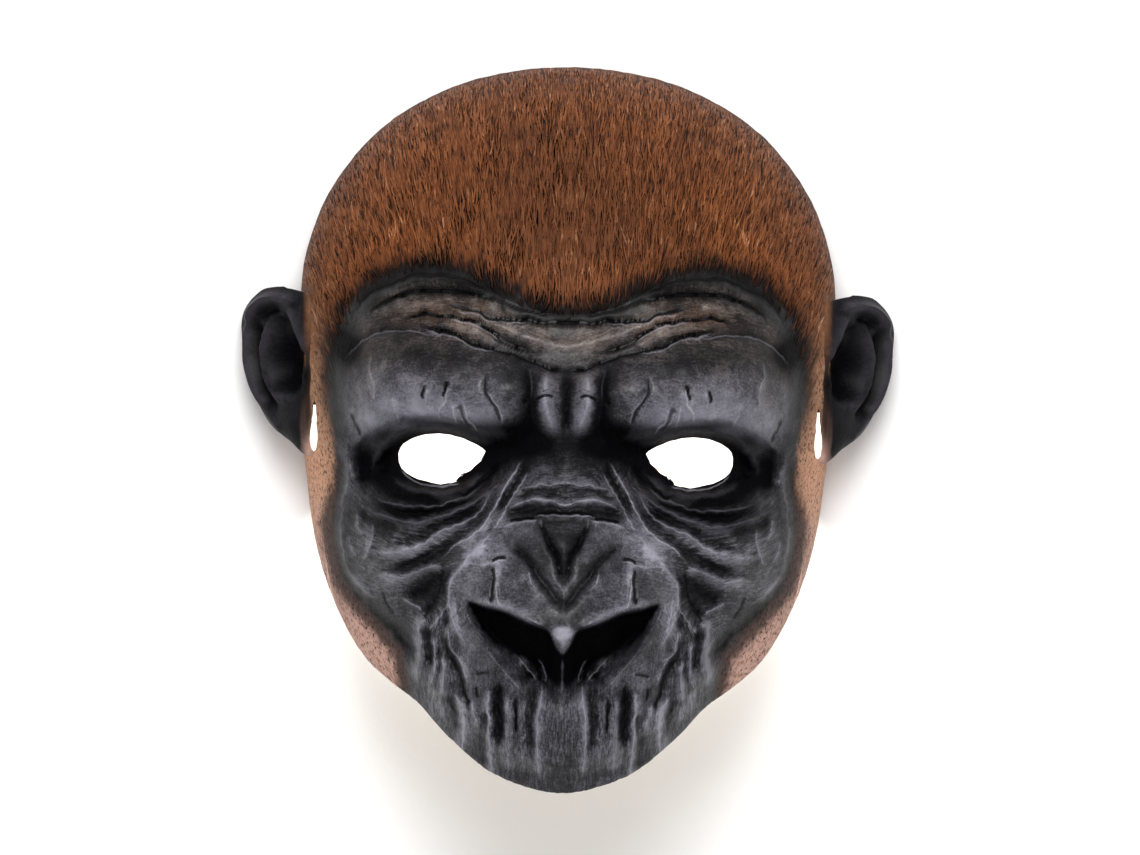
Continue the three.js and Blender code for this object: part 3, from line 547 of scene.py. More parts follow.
def beside(path, x, y, far):
    """Which places lie near a path; of those the distance, the side (left is above 0) and the share along."""
    line = bend(path, PATH_STEPS)
    near = (x > line[:, 0].min() - far) & (x < line[:, 0].max() + far)
    near &= (y > line[:, 1].min() - far) & (y < line[:, 1].max() + far)
    ax, ay = x[near], y[near]
    best, side, along = np.full(ax.shape, np.inf), np.zeros_like(ax), np.zeros_like(ax)
    run = np.concatenate([[0], np.cumsum(np.hypot(*np.diff(line, axis=0).T))])
    for i in range(len(line) - 1):
        ex, ey = line[i + 1] - line[i]
        u = np.clip(((ax - line[i, 0]) * ex + (ay - line[i, 1]) * ey) / (ex * ex + ey * ey), 0, 1)
        dx, dy = ax - line[i, 0] - u * ex, ay - line[i, 1] - u * ey
        gap = np.hypot(dx, dy)
        closer = gap < best
        best = np.where(closer, gap, best)
        side = np.where(closer, ex * dy - ey * dx, side)
        along = np.where(closer, run[i] + u * (run[i + 1] - run[i]), along)
    return near, best, side, along / run[-1]


def across_wrinkles(x, y):
    """Place across the wrinkles: ovals round the eye, upright on the lip, level on forehead and bridge."""
    oval = np.hypot((x - EYE_X) / EYE_OVAL, y - EYE_Y)
    lip = below(y, *LIP_BELOW) * below(x, *LIP_WITHIN)
    brow = above(y, *BROW_ABOVE)
    bridge = below(x, *BRIDGE_WITHIN) * above(y, *BRIDGE_ABOVE) * (1 - brow) * (1 - lip)
    return (lip * x * LIP_CROWDING + brow * (y - BROW_ARCH * np.sin(np.pi * x / BROW_SPAN))
            + bridge * (y - BRIDGE_LEAN * x) + (1 - lip - brow - bridge) * oval)


def wrinkles(x, y):
    """Fine wrinkles of a hand-modelled skin, about -1 to 1 where it is wrinkled most."""
    run, total = across_wrinkles(x, y), np.zeros_like(x)
    for wide, seed in WRINKLE_WIDTHS:
        waver = uneven(0, x, y, (3.0, 44, seed), (1.2, 17, seed + 3))
        total += np.sin(math.tau * run / wide + waver) * uneven(0.55, x, y, (0.45, 58, seed + 6))
    return total * WRINKLE_SHARE * hills(WRINKLED, x, y)


def wandered(x, y):
    """Places moved a little, so that the folds run as unevenly as modelled by hand."""
    return uneven(x, x, y, *WANDER_X), uneven(y, x, y, *WANDER_Y)


def end_fade(along, share):
    """Rises from 0 to 1 over a share of a path at each of its ends."""
    return smooth(np.minimum(along, 1 - along) / share)


def creases(table, x, y):
    """How far the folds and grooves of a table raise the skin at places."""
    total = np.zeros_like(x)
    for row in table:
        near, gap, side, along = beside(row["path"], x, y, FOLD_REACH * max(row["inner"], row["outer"]))
        fade = end_fade(along, FOLD_FADE)
        spread = np.where(side > 0, row["inner"], row["outer"]) * (FOLD_TIP_WIDE + (1 - FOLD_TIP_WIDE) * fade)
        fall = np.exp(-(gap / spread) ** FOLD_PEAK)
        total[near] += row["raise"] * fall * (FOLD_TIP_RISE + (1 - FOLD_TIP_RISE) * fade)
    return total


def threads(table, x, y, number):
    """One set of threads: signed distance from the nearest in metres, its strength as crack, painted black as
    shade, and as crest line, painted pale as highlight.
    """
    told = np.zeros((len(x), 3))
    told[:, 0] = THREAD_FAR * MIL
    nearest = np.full(len(x), np.inf)
    for row in table:
        if row["set"] != number or row["thread"] == 0:
            continue
        near, gap, side, along = beside(row["path"], x, y, THREAD_FAR)
        index = np.flatnonzero(near)
        closer = gap < nearest[index]
        index, gap, side, along = index[closer], gap[closer], side[closer], along[closer]
        nearest[index] = gap
        strength = end_fade(along, THREAD_FADE) * smooth((THREAD_FAR - gap) / THREAD_FAR * 2)
        told[index, 0] = gap * np.where(side > 0, 1, -1) * MIL
        told[index, 1] = strength * max(0, -row["thread"])
        told[index, 2] = strength * max(0, row["thread"])
    return told


def nostril(x, y):
    """How deep the nostril hollow is, 0 to 1."""
    roof, floor, share, ramp = columns_at(NOSTRIL, "x", "roof floor share ramp", x)
    share = np.where(x > NOSTRIL["x"][-1], 0, share)
    return share * smooth((roof - y) / NOSTRIL_ROOF + ROOF_UP) * smooth((y - floor) / ramp + FLOOR_UP)


def nostril_black(x, y):
    """How much black lies there in the nostril, 0 to 1: black paint and painted shade."""
    roof, black, fade = columns_at(NOSTRIL, "x", "roof black fade", x)
    low_edge = smooth(uneven(y - black, x, y, BLACK_UNEVEN) / fade + 0.5)
    return below(x, NOSTRIL["x"][-1], BLACK_END) * smooth((roof - y) / BLACK_ROOF + 0.5) * low_edge


def skin(x, y, fine=True):
    """Height of the outer skin over places in the rim's plane, with or without its fine forms."""
    signed_x, x = x, np.abs(x)
    reach, lift, round_, square = rim_at(x, y, "reach lift round square")
    out = np.minimum(1, np.hypot(x, y) / reach)
    dome = (1 - out ** round_) ** (1 / square)
    calm = 1 - smooth((out - 1 + RIM_CALM) / RIM_CALM)
    relief = hills(BUMPS, x, y) - NOSTRIL_DEEP * nostril(x, y)
    if fine:
        relief += creases(FOLDS, *wandered(x, y)) + WRINKLE_RISE * wrinkles(x, y)
        relief += uneven(0, signed_x, y, *CAST_LUMPS)
    return lift + (FACE_H - lift) * dome + calm * relief


def rim_place(turn, inset):
    """The rim's place, seen from the front, at turns of 0 to 360."""
    folded = np.where(turn > 180, 360 - turn, turn)
    reach = between(RIM, "turn", "reach", folded) - inset
    return reach * np.sin(np.radians(turn)), reach * np.cos(np.radians(turn))


def verts_of(bm_verts):
    """The places of a bmesh's verts as an array."""
    return np.array([v.co for v in bm_verts])


def of_kind(geom, kind):
    """The verts or the faces among what a bmesh operator gives."""
    return [part for part in geom if isinstance(part, kind)]


def move_to(bm_verts, points):
    for vert, point in zip(bm_verts, points):
        vert.co = point


def disc_from_square(bm, cells):
    """A square grid bent round to a disc: its verts, and of each the turn and the share of the way out."""
    verts = bmesh.ops.create_grid(bm, x_segments=cells, y_segments=cells, size=1.0)["verts"]
    flat = verts_of(verts)
    a, b = flat[:, 0], flat[:, 1]
    wide = np.abs(a) > np.abs(b)
    big, small = np.where(wide, a, b), np.where(wide, b, a)
    angle = np.pi / 4 * small / np.where(big == 0, 1, big)
    turn = np.where(wide, np.pi / 2 - angle, angle) + np.where(big < 0, np.pi, 0)
    return verts, np.degrees(turn) % 360, np.abs(big)


WALL_BETWEEN = (250.0, 400.0)            # where the side wall is looked for beside the ear
WALL_TRIES = 24


def wall_x(y, z):
    """Distance out from the middle at which the outer skin stands at height z, beside the ear."""
    low, high = (np.full_like(y, end) for end in WALL_BETWEEN)
    for _ in range(WALL_TRIES):
        middle = (low + high) / 2
        inside = skin(middle, y, False) > z
        low, high = np.where(inside, middle, low), np.where(inside, high, middle)
    return (low + high) / 2


def finish_mesh(bm, name, materials):
    """Makes a bmesh a smooth shaded object of the scene."""
    mesh = bpy.data.meshes.new(name)
    bm.to_mesh(mesh)
    bm.free()
    for material in materials:
        mesh.materials.append(material)
    mesh.shade_smooth()
    piece = bpy.data.objects.new(name, mesh)
    bpy.context.scene.collection.objects.link(piece)
    return piece


def cut_or_join(piece, tool, operation):
    """Cuts a closed body out of a piece, or joins it on, and removes it."""
    modifier = piece.modifiers.new(operation.lower(), "BOOLEAN")
    modifier.operation, modifier.solver, modifier.object = operation, "MANIFOLD", tool
    bpy.context.view_layer.objects.active = piece
    bpy.ops.object.modifier_apply(modifier=modifier.name)
    bpy.data.objects.remove(tool)


# Shader arithmetic

class Wire:
    """One socket of a material's nodes. Arithmetic on it adds Math nodes; node() adds any other kind."""

    def __init__(self, tree, socket=None):
        self.tree, self.socket = tree, socket

    def node(self, kind, settings=None, links=None, out=0):
        """Adds a node, sets it up, fills its sockets by name or index, and gives one of its outputs."""
        made = self.tree.nodes.new(kind)
        for name, value in (settings or {}).items():
            if name == "stops":
                ramp = made.color_ramp.elements
                while len(ramp) < len(value):
                    ramp.new(0.5)
                for stop, (at, colour) in zip(ramp, value):
                    stop.position, stop.color = at, colour
            else:
                setattr(made, name, value)
        for key, value in (links or {}).items():
            if isinstance(value, Wire):
                self.tree.links.new(value.socket, made.inputs[key])
            else:
                made.inputs[key].default_value = value
        return Wire(self.tree, made.outputs[out])

    def math(self, operation, *values, clamp=False):
        settings = {"operation": operation, "use_clamp": clamp}
        return self.node("ShaderNodeMath", settings, dict(enumerate(values)))

    def __add__(self, other):
        return self.math("ADD", self, other)

    def __radd__(self, other):
        return self.math("ADD", other, self)

    def __sub__(self, other):
        return self.math("SUBTRACT", self, other)

    def __rsub__(self, other):
        return self.math("SUBTRACT", other, self)

    def __mul__(self, other):
        return self.math("MULTIPLY", self, other)

    def __rmul__(self, other):
        return self.math("MULTIPLY", other, self)

    def size(self):
        return self.math("ABSOLUTE", self)

    def clamp(self):
        return self.math("ADD", self, 0.0, clamp=True)

    def swing(self, amount):
        """Turns a noise into a swing of this amount about 0."""
        return (self - 0.5) * amount

    def step(self, low, high):
        """Rises smoothly from 0 to 1 between low and high, or falls if low is the greater."""
        settings = {"interpolation_type": "SMOOTHSTEP"}
        return self.node("ShaderNodeMapRange", settings, {0: self, 1: low, 2: high})

    def mix(self, a, b):
        """Colour a, turned to b by this factor."""
        return self.node("ShaderNodeMix", {"data_type": "RGBA"}, {0: self, 6: a, 7: b}, out=2)

    def ramp(self, *stops):
        return self.node("ShaderNodeValToRGB", {"stops": stops}, {0: self})

    def split(self):
        """The three parts of a vector."""
        made = self.node("ShaderNodeSeparateXYZ", None, {0: self}).socket.node
        return [Wire(self.tree, part) for part in made.outputs]

    def scaled(self, x, y, z):
        return self.node("ShaderNodeVectorMath", {"operation": "MULTIPLY"}, {0: self, 1: (x, y, z)})

    def noise(self, size, detail=2.0, rough=0.5, bend=0.0):
        """Noise over this vector, with lumps of about the given size in metres."""
        return self.node("ShaderNodeTexNoise", None, {
            "Vector": self, "Scale": 1 / size, "Detail": detail, "Roughness": rough, "Distortion": bend})

    def cells(self, size):
        return self.node("ShaderNodeTexVoronoi", None, {"Vector": self, "Scale": 1 / size})


def new_material(name):
    material = bpy.data.materials.new(name)
    material.use_nodes = True
    material.node_tree.nodes.clear()
    return material, Wire(material.node_tree)


def place_in(wire):
    return wire.node("ShaderNodeTexCoord", out="Object")


def attribute(wire, name, out="Fac"):
    return wire.node("ShaderNodeAttribute", {"attribute_name": name}, out=out)


PAINT_SHINE = 0.05           # how strongly bare paint reflects; 0.5 is plain plastic
RAW_SHINE = 0.3              # the same of bare latex
COAT_ROUGHNESS = 0.36        # of the thin varnish over the face


def close_material(wire, colour, roughness, height, rise, coat=0.0, shine=PAINT_SHINE):
    """The surface shader: colour, roughness and varnish, with height times rise, in metres, as its bump."""
    normal = wire.node("ShaderNodeBump", None, {"Strength": 1.0, "Distance": rise, "Height": height})
    shader = wire.node("ShaderNodeBsdfPrincipled", None, {
        "Base Color": colour, "Roughness": roughness, "Normal": normal, "Specular IOR Level": shine,
        "Coat Weight": coat, "Coat Roughness": COAT_ROUGHNESS})
    output = wire.tree.nodes.new("ShaderNodeOutputMaterial")
    wire.tree.links.new(shader.socket, output.inputs["Surface"])


# Where the paints meet, as heights up the mask in metres: from, to
HAIR_ENDS, TEMPLE = (0.036, -0.010), (0.058, 0.034)
STRIP_TAN, STRIP_PINK, JAW = (0.034, -0.004), (-0.014, -0.045), (-0.002, -0.035)
BROW_BROWN = (0.008, 0.034)
HAIRLINE_UP = (0.0, 0.03)
EAR_PINK = (-0.006, 0.016)
# The same as distances from the painted face's edge
STRIP_COATS = (0.0015, 0.0045)           # the dark coats, dark paint and painted shade, show on the strips only past this
STRIP_SHADE = (0.0030, -0.0008)
PAINT_EDGE = (-0.0005, 0.0030)
LINE_IN, LINE_OUT = (-0.0058, -0.0026), (0.0085, 0.0015)
STROKES_BLACK = (0.0092, 0.0008)


def side_strip(up, edge, mottle):
    """Where the hair gives way to the strips in front of the ears, 0 to 1."""
    return (up + edge * -1.5 + mottle.swing(0.020)).step(*HAIR_ENDS) * up.step(*TEMPLE)


def brown_patches(place, tint):
    """Where the hair is a darker brown, 0 to 1."""
    return (tint * 0.6 + place.noise(0.030, 3, 0.55).step(0.5, 0.75) * 0.35).clamp()


def skin_wires(wire):
    """The attributes and noises that the painted skin's parts share."""
    names = ("face_edge", "crest", "dark_coat", "pale_coat", "tint_coat", "wrinkled")
    place = place_in(wire)
    return SimpleNamespace(
        **{name: attribute(wire, name) for name in names}, place=place, up=place.split()[1],
        flow=attribute(wire, "hair_flow", "Vector"), across=attribute(wire, "across_wrinkles", "Vector"),
        mottle=place.noise(0.0034, 3, 0.6), grain=place.noise(0.0008, 3, 0.65),
        cloud=place.noise(0.011, 3, 0.6))


def brushed_hair(on, colours):
    """The paint under the hair strokes, with fine streaks along the flow: its colour and relief."""
    streak = on.flow.scaled(1100, 150, 1).noise(1.0, 3, 0.6, 0.8)
    fine = on.flow.scaled(2900, 300, 1).noise(1.0, 2, 0.6, 0.4)
    stroke = streak * 0.55 + fine * 0.45 + on.cloud.swing(0.25)
    # the brushed paint follows its own relief: darker where it is low, as dark paint and painted shade in the
    # streaks
    hair = stroke.ramp((0.40, colours.hair_gap), (0.52, colours.hair), (0.70, colours.hair_light))
    hair = brown_patches(on.place, on.tint_coat).mix(hair, stroke.mix(colours.hair_gap, colours.hair_brown))
    hair = (stroke.step(0.46, 0.40) * 0.9).mix(hair, colours.hair_deep)
    return hair, streak * 0.7 + fine * 0.4


def side_paint(on, colours):
    """The side strips, tan by the temple and pink along the jaw, with stubble: their colour and relief."""
    # darker beside the temple than lower down: partly browner paint there, partly painted shade
    strip = (on.up + on.cloud.swing(0.02)).step(*STRIP_TAN).mix(colours.side_top, colours.side_tan)
    strip = (on.up + on.cloud.swing(0.03)).step(*STRIP_PINK).mix(strip, colours.side_pink)
    speckle = on.place.noise(0.0014, 3, 0.7)
    strip = (speckle.step(0.52, 0.62) * 0.75).mix(strip, colours.side_brown)
    strip = (speckle.step(0.44, 0.36) * 0.6).mix(strip, colours.side_light)
    stubble = on.flow.scaled(1700, 480, 1).noise(1.0, 2, 0.7, 0.3)
    strip = (stubble.step(0.60, 0.68) * 0.75).mix(strip, colours.side_deep)
    dots = on.place.cells(0.0025).step(0.25, 0.15)
    strip = (dots * 0.8).mix(strip, colours.side_deep)
    shade = (on.face_edge + on.mottle.swing(0.004) - on.up.step(*JAW) * 0.004).step(*STRIP_SHADE)
    return (shade * 0.85).mix(strip, colours.side_shade), dots + stubble.step(0.58, 0.68)


def face_paint(on, colours):
    """Grey skin, with painted shade making the grooves near-black and paler paint with painted highlight on
    the crests: its colour, tone and fine lines' relief.
    """
    coarse = on.across.scaled(1500, 190, 190).noise(1.0, 3, 0.6, 0.3)
    hatch = coarse * 0.5 + on.across.scaled(3200, 420, 420).noise(1.0, 2, 0.6) * 0.5
    lines = (hatch - 0.5) * (on.wrinkled * 1.2 + 0.4)
    # tone is lighter on the ridges of the folds and wrinkles and darker in their grooves: dry-brushed paint
    # with painted highlight and shade
    tone = on.crest * 0.40 + 0.47 + lines
    tone = (tone + on.mottle.swing(0.40) + on.grain.swing(0.55) + on.cloud.swing(0.55)).clamp()
    face = tone.ramp((0.14, colours.face_deep), (0.46, colours.face), (0.90, colours.face_light))
    brown = tone.ramp((0.14, colours.brow_deep), (0.46, colours.brow), (0.90, colours.brow_light))
    face = (on.up + on.cloud.swing(0.03)).step(*BROW_BROWN).mix(face, brown)
    haze = on.tint_coat * on.cloud.step(0.32, 0.62) * 0.5
    face = haze.mix(face, tone.mix(colours.brow_deep, colours.brow_tint))
    # paler paint on the muzzle, partly painted highlight where its forms face the light
    rubbed_and_highlit = (on.pale_coat * (tone * 1.1 + 0.1)).clamp()
    face = (rubbed_and_highlit * 0.8).mix(face, tone.ramp((0.15, colours.muzzle_deep), (0.75, colours.muzzle)))
    # painted highlight: the bright spot on the nose tip
    face = ((on.pale_coat - 1.0).clamp() * 0.9).mix(face, colours.crest)
    # black paint and painted shade in the hollows
    dark = on.dark_coat * 1.05 + on.mottle.swing(0.3) * on.dark_coat - on.crest * on.dark_coat * 0.25
    return dark.clamp().mix(face, colours.black), tone, lines * 0.9


def fold_lines(on, face, colours):
    """Adds the folds' fine lines to the face, cracks painted black as shade and pale crest lines of
    dry-brushed paint and painted highlight: its colour, their relief.
    """
    relief, cracks = 0.0, None
    for number in range(THREAD_SETS):
        gap, crack, worn_and_highlit = attribute(on.place, f"thread_{number}", "Vector").split()
        gap = (gap + on.mottle.swing(0.0005) + on.grain.swing(0.0003)).size()
        # the cracks are painted black as shade in the fine creases
        crack = (crack * 1.4 * gap.step(0.00070, 0.00020)).clamp()
        patchy = (on.cloud * 1.6 + on.mottle * 1.4 + on.grain * 0.8 - 1.15).clamp()
        # pale crest lines: dry-brushed paint and painted highlight
        worn_and_highlit = worn_and_highlit * gap.step(0.00048, 0.0) * patchy
        cracks = cracks.math("MAXIMUM", cracks, crack) if cracks else crack
        face = (worn_and_highlit * (1.0 - on.dark_coat * 0.35) * 0.8).clamp().mix(face, colours.crest)
        relief = worn_and_highlit * 0.35 - crack * 0.6 + relief
    return (cracks * 0.95).mix(face, colours.black), relief


def painted_latex(colours):
    """The painted outer skin: hair, side strips and dark face, told apart by the attributes of the mesh."""
    material, wire = new_material("painted_latex")
    on = skin_wires(wire)
    hair, brushed = brushed_hair(on, colours)
    strip, bristles = side_paint(on, colours)
    side = side_strip(on.up, on.face_edge, on.mottle)
    # dark paint and painted shade on the strips, in the slot's recess and the ear's bowl
    coated = (on.dark_coat * on.face_edge.step(*STRIP_COATS)).clamp()
    outside = coated.mix(side.mix(hair, strip), colours.side_deep)
    face, tone, lines = face_paint(on, colours)
    face, folds = fold_lines(on, face, colours)

    # the painted border, feathered by brush strokes along the hairline
    feather = on.flow.scaled(1000, 120, 1).noise(1.0, 2)
    border = on.face_edge + feather.swing(0.0085) * on.up.step(*HAIRLINE_UP) + on.mottle.swing(0.003)
    shown = border.step(*PAINT_EDGE)
    line = border.step(*LINE_IN) * border.step(*LINE_OUT) * 0.97 * (on.up.step(-0.02, 0.02) * 0.8 + 0.2)
    colour = line.mix(shown.mix(face, outside), colours.hairline)

    relief = brushed * shown * (1 - side) + on.grain * 0.35 + on.mottle * 0.5 + on.place.cells(0.0014) * 0.2
    relief = relief - bristles * side * 0.5 + (folds + lines) * (1 - shown)
    roughness = 0.50 + on.grain.swing(0.25) + shown * 0.14 + on.dark_coat.clamp() * 0.16
    coat = (1 - on.dark_coat * 1.2).clamp() * (tone * 0.7 + 0.15) * (1 - shown) + shown * 0.02
    close_material(wire, colour, roughness, relief, 0.00055, coat.clamp() * 0.8)
    return material


def ear_latex(colours):
    """The ears' paint: near-black in the hollows, as paint and painted shade, lighter on the ridges as
    painted highlight, tinted at the root.
    """
    material, wire = new_material("ear_latex")
    place = place_in(wire)
    crest, dark, root = (attribute(wire, name) for name in ("crest", "dark_coat", "pale_coat"))
    mottle, grain = place.noise(0.0035, 3, 0.6), place.noise(0.0009, 3, 0.6)
    # lighter on the ridges as painted highlight
    tone = (crest * 0.5 + 0.45 + mottle.swing(0.4) + grain.swing(0.3)).clamp()
    colour = tone.ramp((0.2, colours.black), (0.5, colours.ear), (0.92, colours.ear_light))
    tint = (place.split()[1] + mottle.swing(0.02)).step(*EAR_PINK).mix(colours.side_pink, colours.side_brown)
    colour = (root * (mottle + 0.3)).clamp().mix(colour, tint)
    # black in the bowl and grooves as painted shade
    colour = dark.clamp().mix(colour, colours.black)
    coat = (1 - dark).clamp() * 0.1
    close_material(wire, colour, 0.5 + grain.swing(0.2), grain * 0.4 + mottle * 0.6, 0.0005, coat)
    return material


def raw_latex(colours):
    """Bare latex: the lining and the cut edges."""
    material, wire = new_material("raw_latex")
    place = place_in(wire)
    mottle, grain, patch = place.noise(0.006, 3, 0.6), place.noise(0.0012, 2, 0.6), place.noise(0.04, 2, 0.5)
    colour = (mottle * 0.5 + patch * 0.5).ramp(
        (0.3, colours.raw_shade), (0.5, colours.raw_latex), (0.75, colours.raw_light))
    close_material(wire, colour, 0.62 + grain.swing(0.2), grain * 0.4 + mottle, 0.0006, shine=RAW_SHINE)
    return material


def hair_paint(colours):
    """The raised hair strokes: each has its own tone, a painted highlight on its crest and painted shade
    along one side as a dark groove, and is black at the hairline.
    """
    material, wire = new_material("hair_paint")
    place = place_in(wire)
    tone, top, edge, tint = (attribute(wire, name) for name in ("tone", "top", "face_edge", "tint_coat"))
    mottle, grain = place.noise(0.004, 2, 0.6), place.noise(0.0007, 2, 0.6)
    up = place.split()[1]
    # each stroke's crest is painted lighter as highlight, up to a glint on the brightest
    lit = (top * 0.25 + tone * 0.55 + mottle.swing(0.35)).clamp()
    colour = lit.ramp((0.1, colours.hair_gap), (0.34, colours.hair), (0.76, colours.hair_light),
                      (0.95, colours.hair_bright))
    colour = brown_patches(place, tint).mix(colour, lit.mix(colours.hair_gap, colours.hair_brown))
    # painted shade along one side of each stroke, as an engraved dark groove
    groove = top.step(0.93, 0.55) * (1.05 - tone * 0.3)
    colour = groove.mix(colour, colours.hair_deep)
    strip = (groove * 0.6).mix(tone.mix(colours.side_brown, colours.side_tan), colours.side_deep)
    colour = (side_strip(up, edge, mottle) * 0.85).mix(colour, strip)
    near = (edge - tone.swing(0.006) + mottle.swing(0.004)).step(*STROKES_BLACK) * up.step(*HAIRLINE_UP)
    colour = (near * 0.95).mix(colour, colours.hairline)
    close_material(wire, colour, 0.5 + grain.swing(0.2), grain, 0.0003, 0.03)
    return material


# Sizes and colours

def length(name, description, default):
    return bpy.props.FloatProperty(name=name, description=description, default=default, min=0, unit="LENGTH")


def colour(name, description, *shown):
    return bpy.props.FloatVectorProperty(
        name=name, description=description, default=srgb(*shown), size=4, min=0, max=1, subtype="COLOR")


class MaskSizes(bpy.types.PropertyGroup):
    """Sizes that a user would change."""
    wall: length("Skin at the rim", "Thickness of the latex at the cut rim", 0.0022)
    wall_face: length("Skin behind the face", "Thickness of the latex behind the face's relief", 0.0028)
    lock_length: length("Stroke length", "Length of one sculpted hair stroke", 0.0085)
    lock_width: length("Stroke width", "Width of one sculpted hair stroke", 0.00115)
    lock_rise: length("Stroke height", "How far a hair stroke stands out of the skin", 0.00034)
    locks: bpy.props.IntProperty(
        name="Strokes", description="How many hair strokes cover each half of the scalp", default=3750, min=0)


class MaskColours(bpy.types.PropertyGroup):
    """Colours that a user would change."""
    # dark paint and painted shade in the grooves beside the strokes and in the brushed streaks
    hair_deep: colour("Hair, deep", "Paint in the grooves beside the hair strokes", 20, 12, 9)
    hair_gap: colour("Hair, foot", "Darkest brushed hair paint", 56, 31, 20)
    hair: colour("Hair", "Main hair paint", 100, 56, 30)
    hair_light: colour("Hair, light", "Hair paint on the raised strokes", 140, 84, 49)
    # painted highlight: the glint on the brightest strokes' crests
    hair_bright: colour("Hair, bright", "The lightest single strokes", 214, 166, 130)
    hair_brown: colour("Hair, brown", "Darker area over the forehead", 68, 42, 29)
    hairline: colour("Hairline", "Black paint along the hairline", 11, 9, 10)
    # darker than the tan below it: partly browner paint, partly painted shade by the temple
    side_top: colour("Side, top", "Strip beside the temple", 184, 136, 102)
    side_tan: colour("Side, tan", "Strip in front of the ear", 212, 160, 128)
    side_light: colour("Side, light", "Pale speckles of the strips", 220, 184, 158)
    side_brown: colour("Side, brown", "Speckles of the strips and root of the ear", 134, 90, 62)
    side_pink: colour("Side, pink", "Strip along the jaw", 204, 164, 150)
    side_shade: colour("Side, shade", "Soft shade between the strips and the face", 30, 24, 25)
    # also the painted shade of the dark coats on the strips and of the strokes' shaded side there
    side_deep: colour("Side, dark", "Pores and stubble of the strips", 46, 31, 27)
    # face paint along the folds' height: deep is dark paint and painted shade in the grooves, rubbed is pale
    # dry-brushed paint and painted highlight on the ridges
    face_deep: colour("Face, deep", "Paint in the grooves", 11, 11, 13)
    face: colour("Face", "Main face paint", 42, 41, 45)
    face_light: colour("Face, rubbed", "Paint on the ridges", 116, 115, 125)
    # the same on the brow: dark paint and painted shade in its grooves, dry-brushed paint and painted
    # highlight on its ridges
    brow_deep: colour("Brow, deep", "Paint in the brow's grooves", 9, 7, 7)
    brow: colour("Brow", "Main brow paint", 38, 33, 32)
    brow_light: colour("Brow, rubbed", "Paint on the brow's ridges", 112, 101, 96)
    brow_tint: colour("Brow, tint", "Orange-brown haze over the forehead's folds", 126, 92, 70)
    # pale dry-brushed paint and painted highlight on the sharpest crests, and painted highlight on the nose
    # tip
    crest: colour("Worn crest", "Thin pale lines on the sharpest folds", 160, 158, 170)
    # paler muzzle paint, partly painted highlight where the nose and lip face the light
    muzzle: colour("Muzzle", "Paler paint on the nose and lip", 150, 148, 160)
    muzzle_deep: colour("Muzzle, deep", "Its grooves", 36, 35, 41)
    # black paint in the sockets and nostrils, and painted shade in the hollows and cracks
    black: colour("Black", "Eye sockets, nostrils and cracks", 3, 3, 5)
    # ear paint along its relief: lighter on the ridges as painted highlight, black as painted shade in the
    # hollows
    ear: colour("Ear", "Main ear paint", 16, 15, 18)
    ear_light: colour("Ear, rubbed", "Paint on the ear's ridges", 48, 46, 52)
    raw_latex: colour("Raw latex", "Lining and cut edges", 208, 190, 160)
    raw_shade: colour("Raw latex, dark", "Darker clouds of the lining", 176, 156, 128)
    raw_light: colour("Raw latex, light", "Lighter clouds of the lining", 224, 210, 186)


# Pieces

OUTER_CELLS, LINING_CELLS, EAR_CELLS = 95, 80, 44
BARE, EAR_PAINT = 1, 2       # the latex piece's material slots after its painted outside
FACE_CUTS = 3                # each edge of the outer skin is cut this many times more over the face
FACE_CUTS_PAST = 0.004       # how far past the face's painted edge that goes
RING_CROWDING = 3            # rings crowd towards the steep rim
GRID_MIDDLE = -60            # the middle of the grid, down the nose
RIM_RAGGED = 0.0008          # unevenness of the cut rim, as a share of its reach
RIM_RAGGED_EDGE = 12         # how near the rim that starts: more is nearer
AT_RIM = 0.9999              # share of the reach from which a place is on the rim itself
BALL_RINGS, BALL_SPOKES = (0.55, 0.85, 1.0), 12          # where the ball under the skin is tried


def crowded(share):
    """Shares of the way out, drawn towards the rim."""
    return share * (1 + 1 / RING_CROWDING) - share ** (RING_CROWDING + 1) / RING_CROWDING


def sheet_plan(bm, cells, inset):
    """A flat sheet of faces in the rim's plane, out to the rim."""
    verts, turn, share = disc_from_square(bm, cells)
    rim_x, rim_y = rim_place(turn, inset)
    out = crowded(share)
    x, y = rim_x * out, GRID_MIDDLE + (rim_y - GRID_MIDDLE) * out
    move_to(verts, np.stack([x, y, np.zeros_like(x)], 1))
    return verts


def ragged(flat):
    """Moves places near the rim a little in or out, as scissors leave them."""
    x, y = flat[:, 0], flat[:, 1]
    out = np.hypot(x, y) / rim_at(x, y, "reach")[0]
    near_rim = np.minimum(1, out) ** RIM_RAGGED_EDGE
    flat[:, :2] *= (1 + RIM_RAGGED * near_rim * uneven(0, x, y, *RIM_LUMPS))[:, None]
    return flat


def outer_skin(bm):
    """The outer skin's faces, with smaller ones over the face."""
    verts = sheet_plan(bm, OUTER_CELLS, 0.0)
    flat = verts_of(verts)
    gaps = edge_distance(np.abs(flat[:, 0]), flat[:, 1])
    inside = {vert for vert, gap in zip(verts, gaps) if gap < FACE_CUTS_PAST}
    edges = [edge for edge in bm.edges if edge.verts[0] in inside and edge.verts[1] in inside]
    bmesh.ops.subdivide_edges(bm, edges=edges, cuts=FACE_CUTS, use_grid_fill=True)
    flat = verts_of(bm.verts)
    flat[:, 2] = skin(flat[:, 0], flat[:, 1])
    move_to(bm.verts, ragged(flat))


